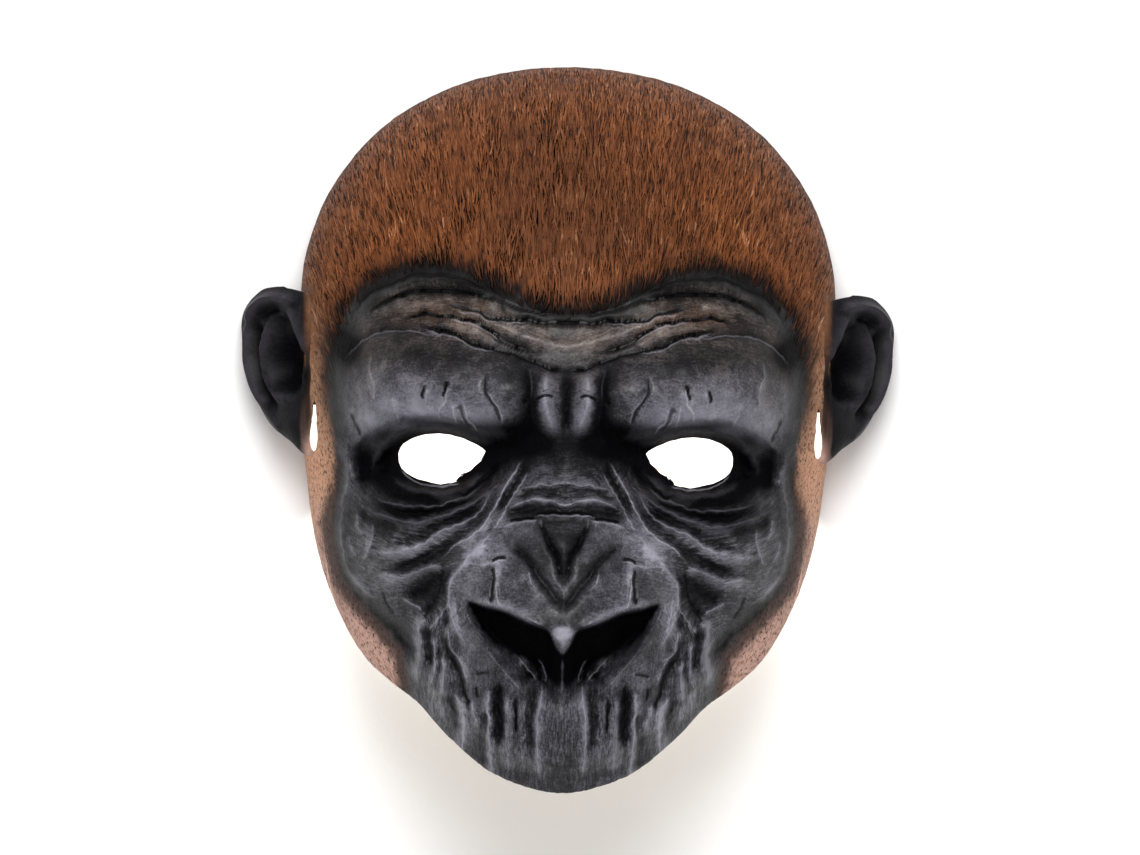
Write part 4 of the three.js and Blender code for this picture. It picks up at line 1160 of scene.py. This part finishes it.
def lining(bm, sizes):
    """The inner skin: the wall's thickness as a ball rolled along the underside of the outer skin."""
    verts = sheet_plan(bm, LINING_CELLS, sizes.wall / MIL)
    flat = verts_of(verts)
    x, y = flat[:, 0], flat[:, 1]
    reach, lift = rim_at(x, y, "reach lift")
    out = np.hypot(x, y) / (reach - sizes.wall / MIL)
    ball = (sizes.wall + (sizes.wall_face - sizes.wall) * smooth((1 - out) / RIM_CALM)) / MIL
    height = skin(x, y) - ball
    for share in BALL_RINGS:
        for spoke in range(BALL_SPOKES):
            angle = math.radians(360 / BALL_SPOKES * spoke + 180 / BALL_SPOKES * share)
            dx, dy = share * math.cos(angle), share * math.sin(angle)
            here = skin(x + ball * dx, y + ball * dy) - ball * math.sqrt(1 - share * share)
            height = np.minimum(height, here)
    flat[:, 2] = np.where(out > AT_RIM, lift, height)
    move_to(verts, ragged(flat))


def boundary(faces):
    """The free edges of faces, in the faces' own order, so that each run bridges them alike."""
    edges = dict.fromkeys(edge for face in faces for edge in face.edges)
    return [edge for edge in edges if len(edge.link_faces) == 1]


def shell_body(sizes, materials):
    """Outer skin, lining and the cut rim between them, in metres, as one closed body."""
    bm = bmesh.new()
    outer_skin(bm)
    outer_faces = bm.faces[:]
    outer_edges = boundary(outer_faces)
    lining(bm, sizes)
    known = set(outer_faces)
    inner_faces = [face for face in bm.faces if face not in known]
    for face in inner_faces:
        face.material_index = BARE
    bmesh.ops.reverse_faces(bm, faces=inner_faces)
    bridge = bmesh.ops.bridge_loops(bm, edges=outer_edges + boundary(inner_faces))["faces"]
    for face in bridge:
        face.material_index = BARE
    bmesh.ops.triangulate(bm, faces=[face for face in bm.faces if len(face.verts) > 4])
    bmesh.ops.recalc_face_normals(bm, faces=bm.faces[:])
    bmesh.ops.scale(bm, vec=(MIL, MIL, MIL), verts=bm.verts)
    return finish_mesh(bm, "mask_latex", materials)


def ear_height(x, y):
    """The ear's relief over its own plate."""
    return hills(EAR_BUMPS, x, y) + creases(EAR_FOLDS, x, y)


def ear_plane(x):
    """Height of the plane that an ear's plate lies in, in metres."""
    return EAR_ROOT_Z - (x * MIL - EAR_ROOT_X) * math.tan(EAR_BACK)


def ear_body(side, materials):
    """One ear: a dished plate whose plane leans back, its root seated in the side wall."""
    bm = bmesh.new()
    for front in (True, False):
        verts, turn, share = disc_from_square(bm, EAR_CELLS)
        share = np.sin(share * np.pi / 2)
        reach = between(EAR, "turn", "reach", turn) * share
        x, y = EAR_X + reach * np.sin(np.radians(turn)), EAR_Y + reach * np.cos(np.radians(turn))
        rounded = np.sqrt(np.clip(1 - share ** EAR_ROUND, 0, 1))
        out = np.maximum(0, x * MIL - EAR_ROOT_X)
        thick = EAR_THICK + (EAR_ROOT_THICK - EAR_THICK) * np.exp(-out / EAR_ROOT_RUN)
        at_rim = share ** EAR_EDGE
        if front:
            up = ear_height(x, y) * MIL * (1 - EAR_RIM_RISE * at_rim) - thick * EAR_DISH * (1 - rounded)
        else:
            bumps = hills(EAR_BUMPS, x, y) * EAR_BACK_BUMPS * (1 - at_rim)
            up = (bumps + ear_height(x, y) * EAR_RIM_RISE * at_rim) * MIL
            up -= thick * (EAR_DISH + (1 - EAR_DISH) * rounded)
        px = x * MIL + up * math.sin(EAR_BACK)
        pz = ear_plane(x) + up * math.cos(EAR_BACK)
        px = np.maximum(px, wall_x(y, pz / MIL) * MIL - EAR_SEAT)
        move_to(verts, np.stack([side * px, y * MIL, pz], 1))
    bmesh.ops.remove_doubles(bm, verts=bm.verts[:], dist=1e-6)
    bmesh.ops.recalc_face_normals(bm, faces=bm.faces[:])
    for face in bm.faces:
        face.material_index = EAR_PAINT
    return finish_mesh(bm, "ear", materials)


def prism(outline, low, high):
    """A closed prism over an outline, for cutting."""
    bm = bmesh.new()
    verts = bmesh.ops.create_circle(bm, cap_ends=True, segments=len(outline), radius=1.0)["verts"]
    move_to(verts, [(x, y, low) for x, y in outline])
    top = bmesh.ops.extrude_face_region(bm, geom=bm.faces[:])["geom"]
    bmesh.ops.translate(bm, vec=(0, 0, high - low), verts=of_kind(top, bmesh.types.BMVert))
    bmesh.ops.recalc_face_normals(bm, faces=bm.faces[:])
    return finish_mesh(bm, "cutter", [])


def eye_outline():
    """The eye hole's edge, slightly ragged as a knife leaves it."""
    curve = bend(EYE, EYE_STEPS, closed=True)
    ragged_by = np.where(curve[:, 1:] < EYE_LOWER, EYE_RAGGED_LOW, EYE_RAGGED)
    return curve + np.random.default_rng(EYE_SEED).normal(0, 1, curve.shape) * ragged_by


def cut_openings(piece):
    """Cuts the eye holes and the strap slots."""
    openings = ((eye_outline(), EYE_FROM_Z), (bend(SLOT, SLOT_STEPS, closed=True), SLOT_FROM_Z))
    for side in (1, -1):
        for outline, low in openings:
            placed = [(side * x * MIL, y * MIL) for x, y in outline]
            cut_or_join(piece, prism(placed, low, CUT_TOP), "DIFFERENCE")


def edge_distance(x, y):
    """Distance outside the painted face, in metres; less than nothing inside it."""
    best = np.full(x.shape, np.inf)
    for (ax, ay), (bx, by) in zip(FACE_EDGE[:FACE_EDGE_SHOWN - 1], FACE_EDGE[1:FACE_EDGE_SHOWN]):
        ex, ey = bx - ax, by - ay
        u = np.clip(((x - ax) * ex + (y - ay) * ey) / (ex * ex + ey * ey), 0, 1)
        best = np.minimum(best, np.hypot(x - ax - u * ex, y - ay - u * ey))
    inside = np.zeros(x.shape, bool)
    ring = np.concatenate([FACE_EDGE, FACE_BEYOND])
    for (ax, ay), (bx, by) in zip(ring, np.roll(ring, -1, 0)):
        crosses = (ay > y) != (by > y)
        inside ^= crosses & (x < (bx - ax) * (y - ay) / (by - ay if by != ay else 1) + ax)
    return np.where(inside, -best, best) * MIL


FLOW_Y = -780                # the hair fans out from a point far below the chin, at this height
FLOW_REACH = 1000            # reach from that point at which lengths across the hair are true


def hair_flow(x, y):
    """Places across and along the hair, in metres."""
    reach = np.hypot(x, y - FLOW_Y)
    angle = np.arctan2(x, y - FLOW_Y)
    return angle * FLOW_REACH * MIL, reach * MIL


def add_attribute(mesh, name, values):
    """Gives a mesh's verts a number or a vector each."""
    made = mesh.attributes.new(name, "FLOAT" if values.ndim == 1 else "FLOAT_VECTOR", "POINT")
    made.data.foreach_set("value" if values.ndim == 1 else "vector", values.astype(np.float32).ravel())


def vectors_of(mesh, name):
    """A vector of each of a mesh's verts."""
    values = np.empty(len(mesh.vertices) * 3)
    mesh.vertices.foreach_get(name, values)
    return values.reshape(-1, 3)


CREST_FULL = 9               # height of a fold whose ridge is painted lightest, and depth of one whose groove is painted darkest: painted highlight and shade
WRINKLE_CREST = 0.3          # share of the fine wrinkles in the crests' paint
NOSTRIL_COAT = 1.1
EAR_BOWL_BLACK, EAR_GROOVE_BLACK = 20, 16    # depth at which the ear's bowl and grooves are painted black, as shade
EAR_BACK_COAT = 0.1          # dark coat on the ear's back
EAR_ROOT_TINT = (367, 12)    # the ear's root is tinted within this, over this run
EAR_TINT_Y, EAR_TINT_RUN, EAR_TINT_LEAST = 92, 90, 0.1   # and least at the middle of its height


def ear_coats(x, y, z, behind, dark):
    """The ears' own crests and dark coats, from their relief: ridges lighter as painted highlight, bowl and
    grooves black as painted shade; and the tint of their roots.
    """
    ear_x = x - (z - ear_plane(x) / MIL) * math.sin(EAR_BACK) * math.cos(EAR_BACK)
    folds = creases(EAR_FOLDS, ear_x, y)
    bowl = hills(EAR_BUMPS, ear_x, y) / -EAR_BOWL_BLACK
    hollow = np.maximum(np.maximum(bowl, folds / -EAR_GROOVE_BLACK), dark)
    far = smooth(np.abs(y - EAR_TINT_Y) / EAR_TINT_RUN)
    root = below(x, *EAR_ROOT_TINT) * (EAR_TINT_LEAST + (1 - EAR_TINT_LEAST) * far)
    return np.where(behind, 0, folds / CREST_FULL), np.where(behind, EAR_BACK_COAT, hollow), root


def paint_attributes(piece):
    """What the paint follows: distance from the face's edge, ridges and grooves, which take painted highlight
    and painted shade, and the coats of dark paint and painted shade, pale paint and painted highlight.
    """
    mesh = piece.data
    points, normals = vectors_of(mesh, "co") / MIL, vectors_of(mesh, "normal")
    on_ear = np.zeros(len(points), bool)
    for polygon in mesh.polygons:
        if polygon.material_index == EAR_PAINT:
            on_ear[list(polygon.vertices)] = True
    x, y = np.abs(points[:, 0]), points[:, 1]
    fold_x, fold_y = wandered(x, y)
    # ridges are painted lighter as highlight and grooves darker as shade; dark is black paint with painted
    # shade in the hollows and nostril
    crest = np.tanh(creases(FOLDS, fold_x, fold_y) / CREST_FULL + wrinkles(x, y) * WRINKLE_CREST)
    dark = hills(DARK_PAINT_AND_SHADE, x, y) + NOSTRIL_COAT * nostril_black(x, y)
    face_coats = crest, dark, hills(PALE_PAINT_AND_HIGHLIGHT, x, y)
    own_coats = ear_coats(x, y, points[:, 2], normals[:, 2] < 0, dark)
    crest, dark, pale = (np.where(on_ear, own, coat) for own, coat in zip(own_coats, face_coats))
    across, along = hair_flow(points[:, 0], y)
    followed = {
        "face_edge": edge_distance(x, y),
        "crest": np.clip(crest, -1, 1),
        "dark_coat": np.clip(dark, 0, 1),
        "pale_coat": np.clip(pale, 0, 2),
        "tint_coat": np.clip(hills(TINT_COATS, x, y), 0, 1),
        "hair_flow": np.stack([across, along, np.zeros_like(across)], 1),
        "wrinkled": np.clip(hills(WRINKLED, x, y), 0, 1),
        "across_wrinkles": np.stack([across_wrinkles(fold_x, fold_y), x, y], 1) * MIL,
        **{f"thread_{number}": threads(FOLDS, fold_x, fold_y, number) for number in range(THREAD_SETS)},
    }
    for name, values in followed.items():
        add_attribute(mesh, name, values)


SHARP_FROM = math.radians(58)            # edges bent more than this are shown sharp


def seat(piece):
    """Carries a piece from the bridge of the nose to the part's own origin, and hangs it on the frame."""
    piece.data.transform(Matrix.Translation((0, Y_SHIFT, 0)))
    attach(piece, "root")


class MASK_OT_latex(bpy.types.Operator):
    """Casts the latex skin with its lining, ears, eye holes and strap slots, and paints it"""
    bl_idname = "mask.latex"
    bl_label = "Latex skin"

    def execute(self, context):
        sizes, colours = context.scene.mask_sizes, context.scene.mask_colours
        materials = [painted_latex(colours), raw_latex(colours), ear_latex(colours)]
        piece = shell_body(sizes, materials)
        for side in (1, -1):
            cut_or_join(piece, ear_body(side, materials), "UNION")
        cut_openings(piece)
        mesh = piece.data
        mesh.shade_smooth()
        mesh.set_sharp_from_angle(angle=SHARP_FROM)
        paint_attributes(piece)
        seat(piece)
        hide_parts("mask_shell")
        if len(mesh.polygons) < OUTER_CELLS ** 2:
            raise RuntimeError("the latex skin lost faces while it was cut")
        return {"FINISHED"}


LOCK_PROFILE = (0.2, 0.95, 1.0, 0.7, 0.08)   # width of a stroke along its length
LOCK_SECTIONS = len(LOCK_PROFILE)
LOCK_CREST = 0.15                # how far its crest lies towards its side that is painted in shade
LOCK_LOW = 0.35                  # share of its height that stays where it narrows to nothing
LOCK_SUNK = 0.5                  # how deep its foot sits in the skin
LOCK_SIZES = (0.65, 1.25)        # the smallest and the largest, as shares of the usual size
LOCK_SWAY, LOCK_CURL = 0.12, 0.45            # spread of its lean and of its bend from root to tip, in radians
LOCK_SEED = 5
SHADED_SIDE_LOW, PLAIN_LOW = 0.0, 0.8            # what "top" tells the paint at the foot of each side; the foot of the shaded side is painted dark as shade
ROOTS_X, ROOTS_Y, ROOTS_TRIED = (-8, 400), (60, 520), 20000
ROOTS_OUT = 0.985                # none is nearer the rim than this share of its reach
ROOTS_OVER_FACE = -0.0008        # how far over the face's painted edge they go
ROOTS_EAR_X, ROOTS_EAR_Y = 346, 205          # none lies further out and lower than this, by the ear
ROOTS_THIN, ROOTS_END = 230, 80              # they thin out down the temples between these heights
STEEPEST, STEEP_MOST = 0.15, 4   # where the skin is steep, more roots are kept, up to this many times
SLOPE_STEP = 1.5                 # half the length over which the skin's slope is measured


def skin_frame(x, y, sway):
    """The skin's normal at places on it, and the way the hair runs there."""
    step = SLOPE_STEP
    gx = (skin(x + step, y, False) - skin(x - step, y, False)) / (2 * step)
    gy = (skin(x, y + step, False) - skin(x, y - step, False)) / (2 * step)
    normal = np.stack([-gx, -gy, np.ones_like(gx)], 1)
    normal /= np.linalg.norm(normal, axis=1, keepdims=True)
    angle = np.arctan2(x, y - FLOW_Y) + sway
    dx, dy = np.sin(angle), np.cos(angle)
    ahead = np.stack([dx, dy, gx * dx + gy * dy], 1)
    ahead /= np.linalg.norm(ahead, axis=1, keepdims=True)
    return normal, ahead


def lock_roots(count, random):
    """Places spread evenly over half the scalp's surface, thinning out down the side strip."""
    made_x, made_y, total = [], [], 0
    while total < count:
        x, y = random.uniform(*ROOTS_X, ROOTS_TRIED), random.uniform(*ROOTS_Y, ROOTS_TRIED)
        out = np.hypot(x, y) / rim_at(x, y, "reach")[0]
        clear_of_ear = (x < ROOTS_EAR_X) | (y > ROOTS_EAR_Y)
        keep = (out < ROOTS_OUT) & (edge_distance(np.abs(x), y) > ROOTS_OVER_FACE) & clear_of_ear
        x, y = x[keep], y[keep]
        normal = skin_frame(x, y, 0.0)[0]
        spread = np.minimum(1 / np.maximum(normal[:, 2], STEEPEST), STEEP_MOST) / STEEP_MOST
        spread *= smooth((y - ROOTS_END) / (ROOTS_THIN - ROOTS_END))
        lucky = random.uniform(0, 1, len(x)) < spread
        made_x.append(x[lucky])
        made_y.append(y[lucky])
        total += int(lucky.sum())
    return np.concatenate(made_x)[:count], np.concatenate(made_y)[:count]


def lock_template():
    """One stroke as a three-sided bar: the section and corner of each of its verts, and its faces."""
    bm = bmesh.new()
    bmesh.ops.create_cone(bm, cap_ends=True, segments=3, radius1=1, radius2=1, depth=LOCK_SECTIONS - 1)
    uprights = [edge for edge in bm.edges if abs(edge.verts[0].co.z - edge.verts[1].co.z) > 1]
    bmesh.ops.subdivide_edges(bm, edges=uprights, cuts=LOCK_SECTIONS - 2)
    bmesh.ops.recalc_face_normals(bm, faces=bm.faces[:])
    shape = verts_of(bm.verts)
    section = np.round(shape[:, 2] + (LOCK_SECTIONS - 1) / 2).astype(int)
    corner = np.round((np.degrees(np.arctan2(shape[:, 1], shape[:, 0])) % 360) / 120).astype(int) % 3
    faces = [[vert.index for vert in face.verts] for face in bm.faces]
    bm.free()
    return section, corner, faces


def lock_points(sizes, random):
    """The corners of each stroke's sections along the hair, its tone and the side that is painted in shade.
    """
    x, y = lock_roots(sizes.locks, random)
    count = len(x)
    size = random.uniform(*LOCK_SIZES, count)
    sway, curl = random.normal(0, LOCK_SWAY, count), random.normal(0, LOCK_CURL, count)
    tone, shaded_side = random.uniform(0, 1, count), random.choice((1, -1), count)[:, None]
    points = np.zeros((count, LOCK_SECTIONS, 3, 3))
    step = sizes.lock_length * size / (LOCK_SECTIONS - 1) / MIL
    for k, profile in enumerate(LOCK_PROFILE):
        normal, ahead = skin_frame(x, y, sway + curl * (k / (LOCK_SECTIONS - 1) - 0.5))
        across = np.cross(ahead, normal)
        middle = np.stack([x, y, skin(x, y)], 1)
        half = (sizes.lock_width / MIL / 2 * profile * size)[:, None]
        rise = sizes.lock_rise / MIL * (LOCK_LOW + (1 - LOCK_LOW) * profile)
        points[:, k, 0] = middle + normal * rise + across * half * shaded_side * LOCK_CREST
        points[:, k, 1] = middle - across * half - normal * LOCK_SUNK
        points[:, k, 2] = middle + across * half - normal * LOCK_SUNK
        x, y = x + ahead[:, 0] * step, y + ahead[:, 1] * step
    return points, tone, shaded_side


def hair_half(sizes):
    """The strokes of one half of the scalp as a mesh, with what their paint follows."""
    points, tone, shaded_side = lock_points(sizes, np.random.default_rng(LOCK_SEED))
    section, corner, bar = lock_template()
    verts = points[:, section, corner].reshape(-1, 3) * MIL
    faces = [[i * len(corner) + k for k in face] for i in range(len(tone)) for face in bar]
    mesh = bpy.data.meshes.new("hair_strokes")
    mesh.from_pydata(verts.tolist(), [], faces)
    # the foot on each stroke's shaded side gets painted shade
    in_painted_shade = np.where(shaded_side > 0, corner == 2, corner == 1)
    top = np.where(corner == 0, 1.0, np.where(in_painted_shade, SHADED_SIDE_LOW, PLAIN_LOW))
    x, y = np.abs(verts[:, 0] / MIL), verts[:, 1] / MIL
    add_attribute(mesh, "tone", np.repeat(tone, len(corner)))
    add_attribute(mesh, "top", top.ravel())
    add_attribute(mesh, "face_edge", edge_distance(x, y))
    add_attribute(mesh, "tint_coat", hills(TINT_COATS, x, y))
    return mesh


class MASK_OT_hair(bpy.types.Operator):
    """Raises the sculpted hair strokes over the scalp"""
    bl_idname = "mask.hair"
    bl_label = "Hair strokes"

    def execute(self, context):
        mesh = hair_half(context.scene.mask_sizes)
        bm = bmesh.new()
        bm.from_mesh(mesh)
        bpy.data.meshes.remove(mesh)
        other = bmesh.ops.duplicate(bm, geom=bm.verts[:] + bm.edges[:] + bm.faces[:])["geom"]
        bmesh.ops.scale(bm, vec=(-1, 1, 1), verts=of_kind(other, bmesh.types.BMVert))
        bmesh.ops.reverse_faces(bm, faces=of_kind(other, bmesh.types.BMFace))
        seat(finish_mesh(bm, "hair_strokes", [hair_paint(context.scene.mask_colours)]))
        return {"FINISHED"}


# The stage
FLOOR_SIZE = 4.0
WORLD_STRENGTH = 0.22
FRAME_WIDE, FRAME_TALL = 1140, 855           # the photograph
MASK_TALL_PX = 726                           # the mask's height in it
AXIS_X_PX, BRIDGE_Y_PX = 566, 439.4          # the bridge of the nose in it
LEAN = math.radians(0.9)                     # the mask leans this far clockwise in it
CAMERA_FAR = 10.0
CAMERA_CLIP = 60
SENSOR = 36
OUTLINE_Z = 0.047            # middling height of the mask's outline, where its size in the picture holds
AIM_Z = 0.05                 # lamps above this height are turned to the middle of the mask at it
LAMPS = (                    # name, place, width, length, power in watts
    ("key", (0.0, 0.85, 1.5), 0.9, 0.9, 27),
    ("front", (0.0, 0.1, 2.2), 1.2, 1.2, 10),
    ("left fill", (-1.1, -0.1, 1.0), 0.8, 0.8, 2.6),
    ("right fill", (1.1, -0.1, 1.0), 0.8, 0.8, 2.6),
    ("chin fill", (0.0, -1.5, 0.6), 0.8, 0.8, 4),
    ("floor inside", (0.0, -0.005, 0.034), 0.160, 0.11, 0.14),
)


def add_floor():
    bm = bmesh.new()
    bmesh.ops.create_grid(bm, x_segments=1, y_segments=1, size=FLOOR_SIZE)
    material, wire = new_material("pale_floor")
    place = place_in(wire)
    colour = place.noise(0.05, 2).mix(srgb(246, 246, 246), srgb(250, 250, 250))
    close_material(wire, colour, 0.8, place.noise(0.002, 2), 0.00005)
    floor = finish_mesh(bm, "floor", [material])


def add_lights(scene):
    world = bpy.data.worlds.new("studio")
    world.use_nodes = True
    background = world.node_tree.nodes["Background"].inputs
    background["Color"].default_value = (1, 1, 1, 1)
    background["Strength"].default_value = WORLD_STRENGTH
    scene.world = world
    for name, place, wide, long, power in LAMPS:
        light = bpy.data.lights.new(name, "AREA")
        light.shape, light.size, light.size_y, light.energy = "RECTANGLE", wide, long, power
        lamp = bpy.data.objects.new(name, light)
        lamp.location = place
        aim = Vector((0, 0, AIM_Z)) if place[2] > AIM_Z else Vector((place[0], place[1], 0))
        lamp.rotation_euler = (aim - Vector(place)).to_track_quat("-Z", "Y").to_euler()
        lamp.visible_camera = False
        scene.collection.objects.link(lamp)


def add_camera(scene):
    """A long lens straight above the mask, turned and moved so that the mask lies as it does in the photo."""
    metre_per_px = MASK_H / MASK_TALL_PX
    camera = bpy.data.objects.new("camera", bpy.data.cameras.new("camera"))
    camera.data.sensor_width = SENSOR
    camera.data.lens = SENSOR * CAMERA_FAR / (FRAME_WIDE * metre_per_px)
    camera.data.clip_end = CAMERA_CLIP
    off_x, off_y = (FRAME_WIDE / 2 - AXIS_X_PX) * metre_per_px, (BRIDGE_Y_PX - FRAME_TALL / 2) * metre_per_px
    off = Vector((off_x, off_y, 0))
    off.rotate(Matrix.Rotation(LEAN, 3, "Z"))
    camera.location = (off.x, off.y + Y_SHIFT, CAMERA_FAR + OUTLINE_Z)
    camera.rotation_euler = (0, 0, LEAN)
    scene.collection.objects.link(camera)
    scene.camera = camera


class MASK_OT_stage(bpy.types.Operator):
    """Sets the pale floor, the soft lights and the camera at the photograph's angle"""
    bl_idname = "mask.stage"
    bl_label = "Floor, lights and camera"

    def execute(self, context):
        add_floor()
        add_lights(context.scene)
        add_camera(context.scene)
        context.scene.view_settings.view_transform = "Standard"
        return {"FINISHED"}


class MASK_PT_panel(bpy.types.Panel):
    """Lists the mask's pieces, sizes and colours"""
    bl_idname = "MASK_PT_panel"
    bl_label = "Gorilla mask"
    bl_space_type = "VIEW_3D"
    bl_region_type = "UI"
    bl_category = "Mask"

    def draw(self, context):
        for operator in OPERATORS:
            self.layout.operator(operator.bl_idname)
        for group in (context.scene.mask_sizes, context.scene.mask_colours):
            for name in group.bl_rna.properties.keys():
                if name not in ("rna_type", "name"):
                    self.layout.prop(group, name)


OPERATORS = (MASK_OT_latex, MASK_OT_hair, MASK_OT_stage)
CLASSES = (MaskSizes, MaskColours, *OPERATORS, MASK_PT_panel)


def register():
    for cls in CLASSES:
        bpy.utils.register_class(cls)
    bpy.types.Scene.mask_sizes = bpy.props.PointerProperty(type=MaskSizes)
    bpy.types.Scene.mask_colours = bpy.props.PointerProperty(type=MaskColours)


def unregister():
    del bpy.types.Scene.mask_colours
    del bpy.types.Scene.mask_sizes
    for cls in reversed(CLASSES):
        bpy.utils.unregister_class(cls)


def main():
    register()
    bpy.ops.mask.latex()
    bpy.ops.mask.hair()
    bpy.ops.mask.stage()
    bpy.context.view_layer.update()


if __name__ == "__main__":
    main()
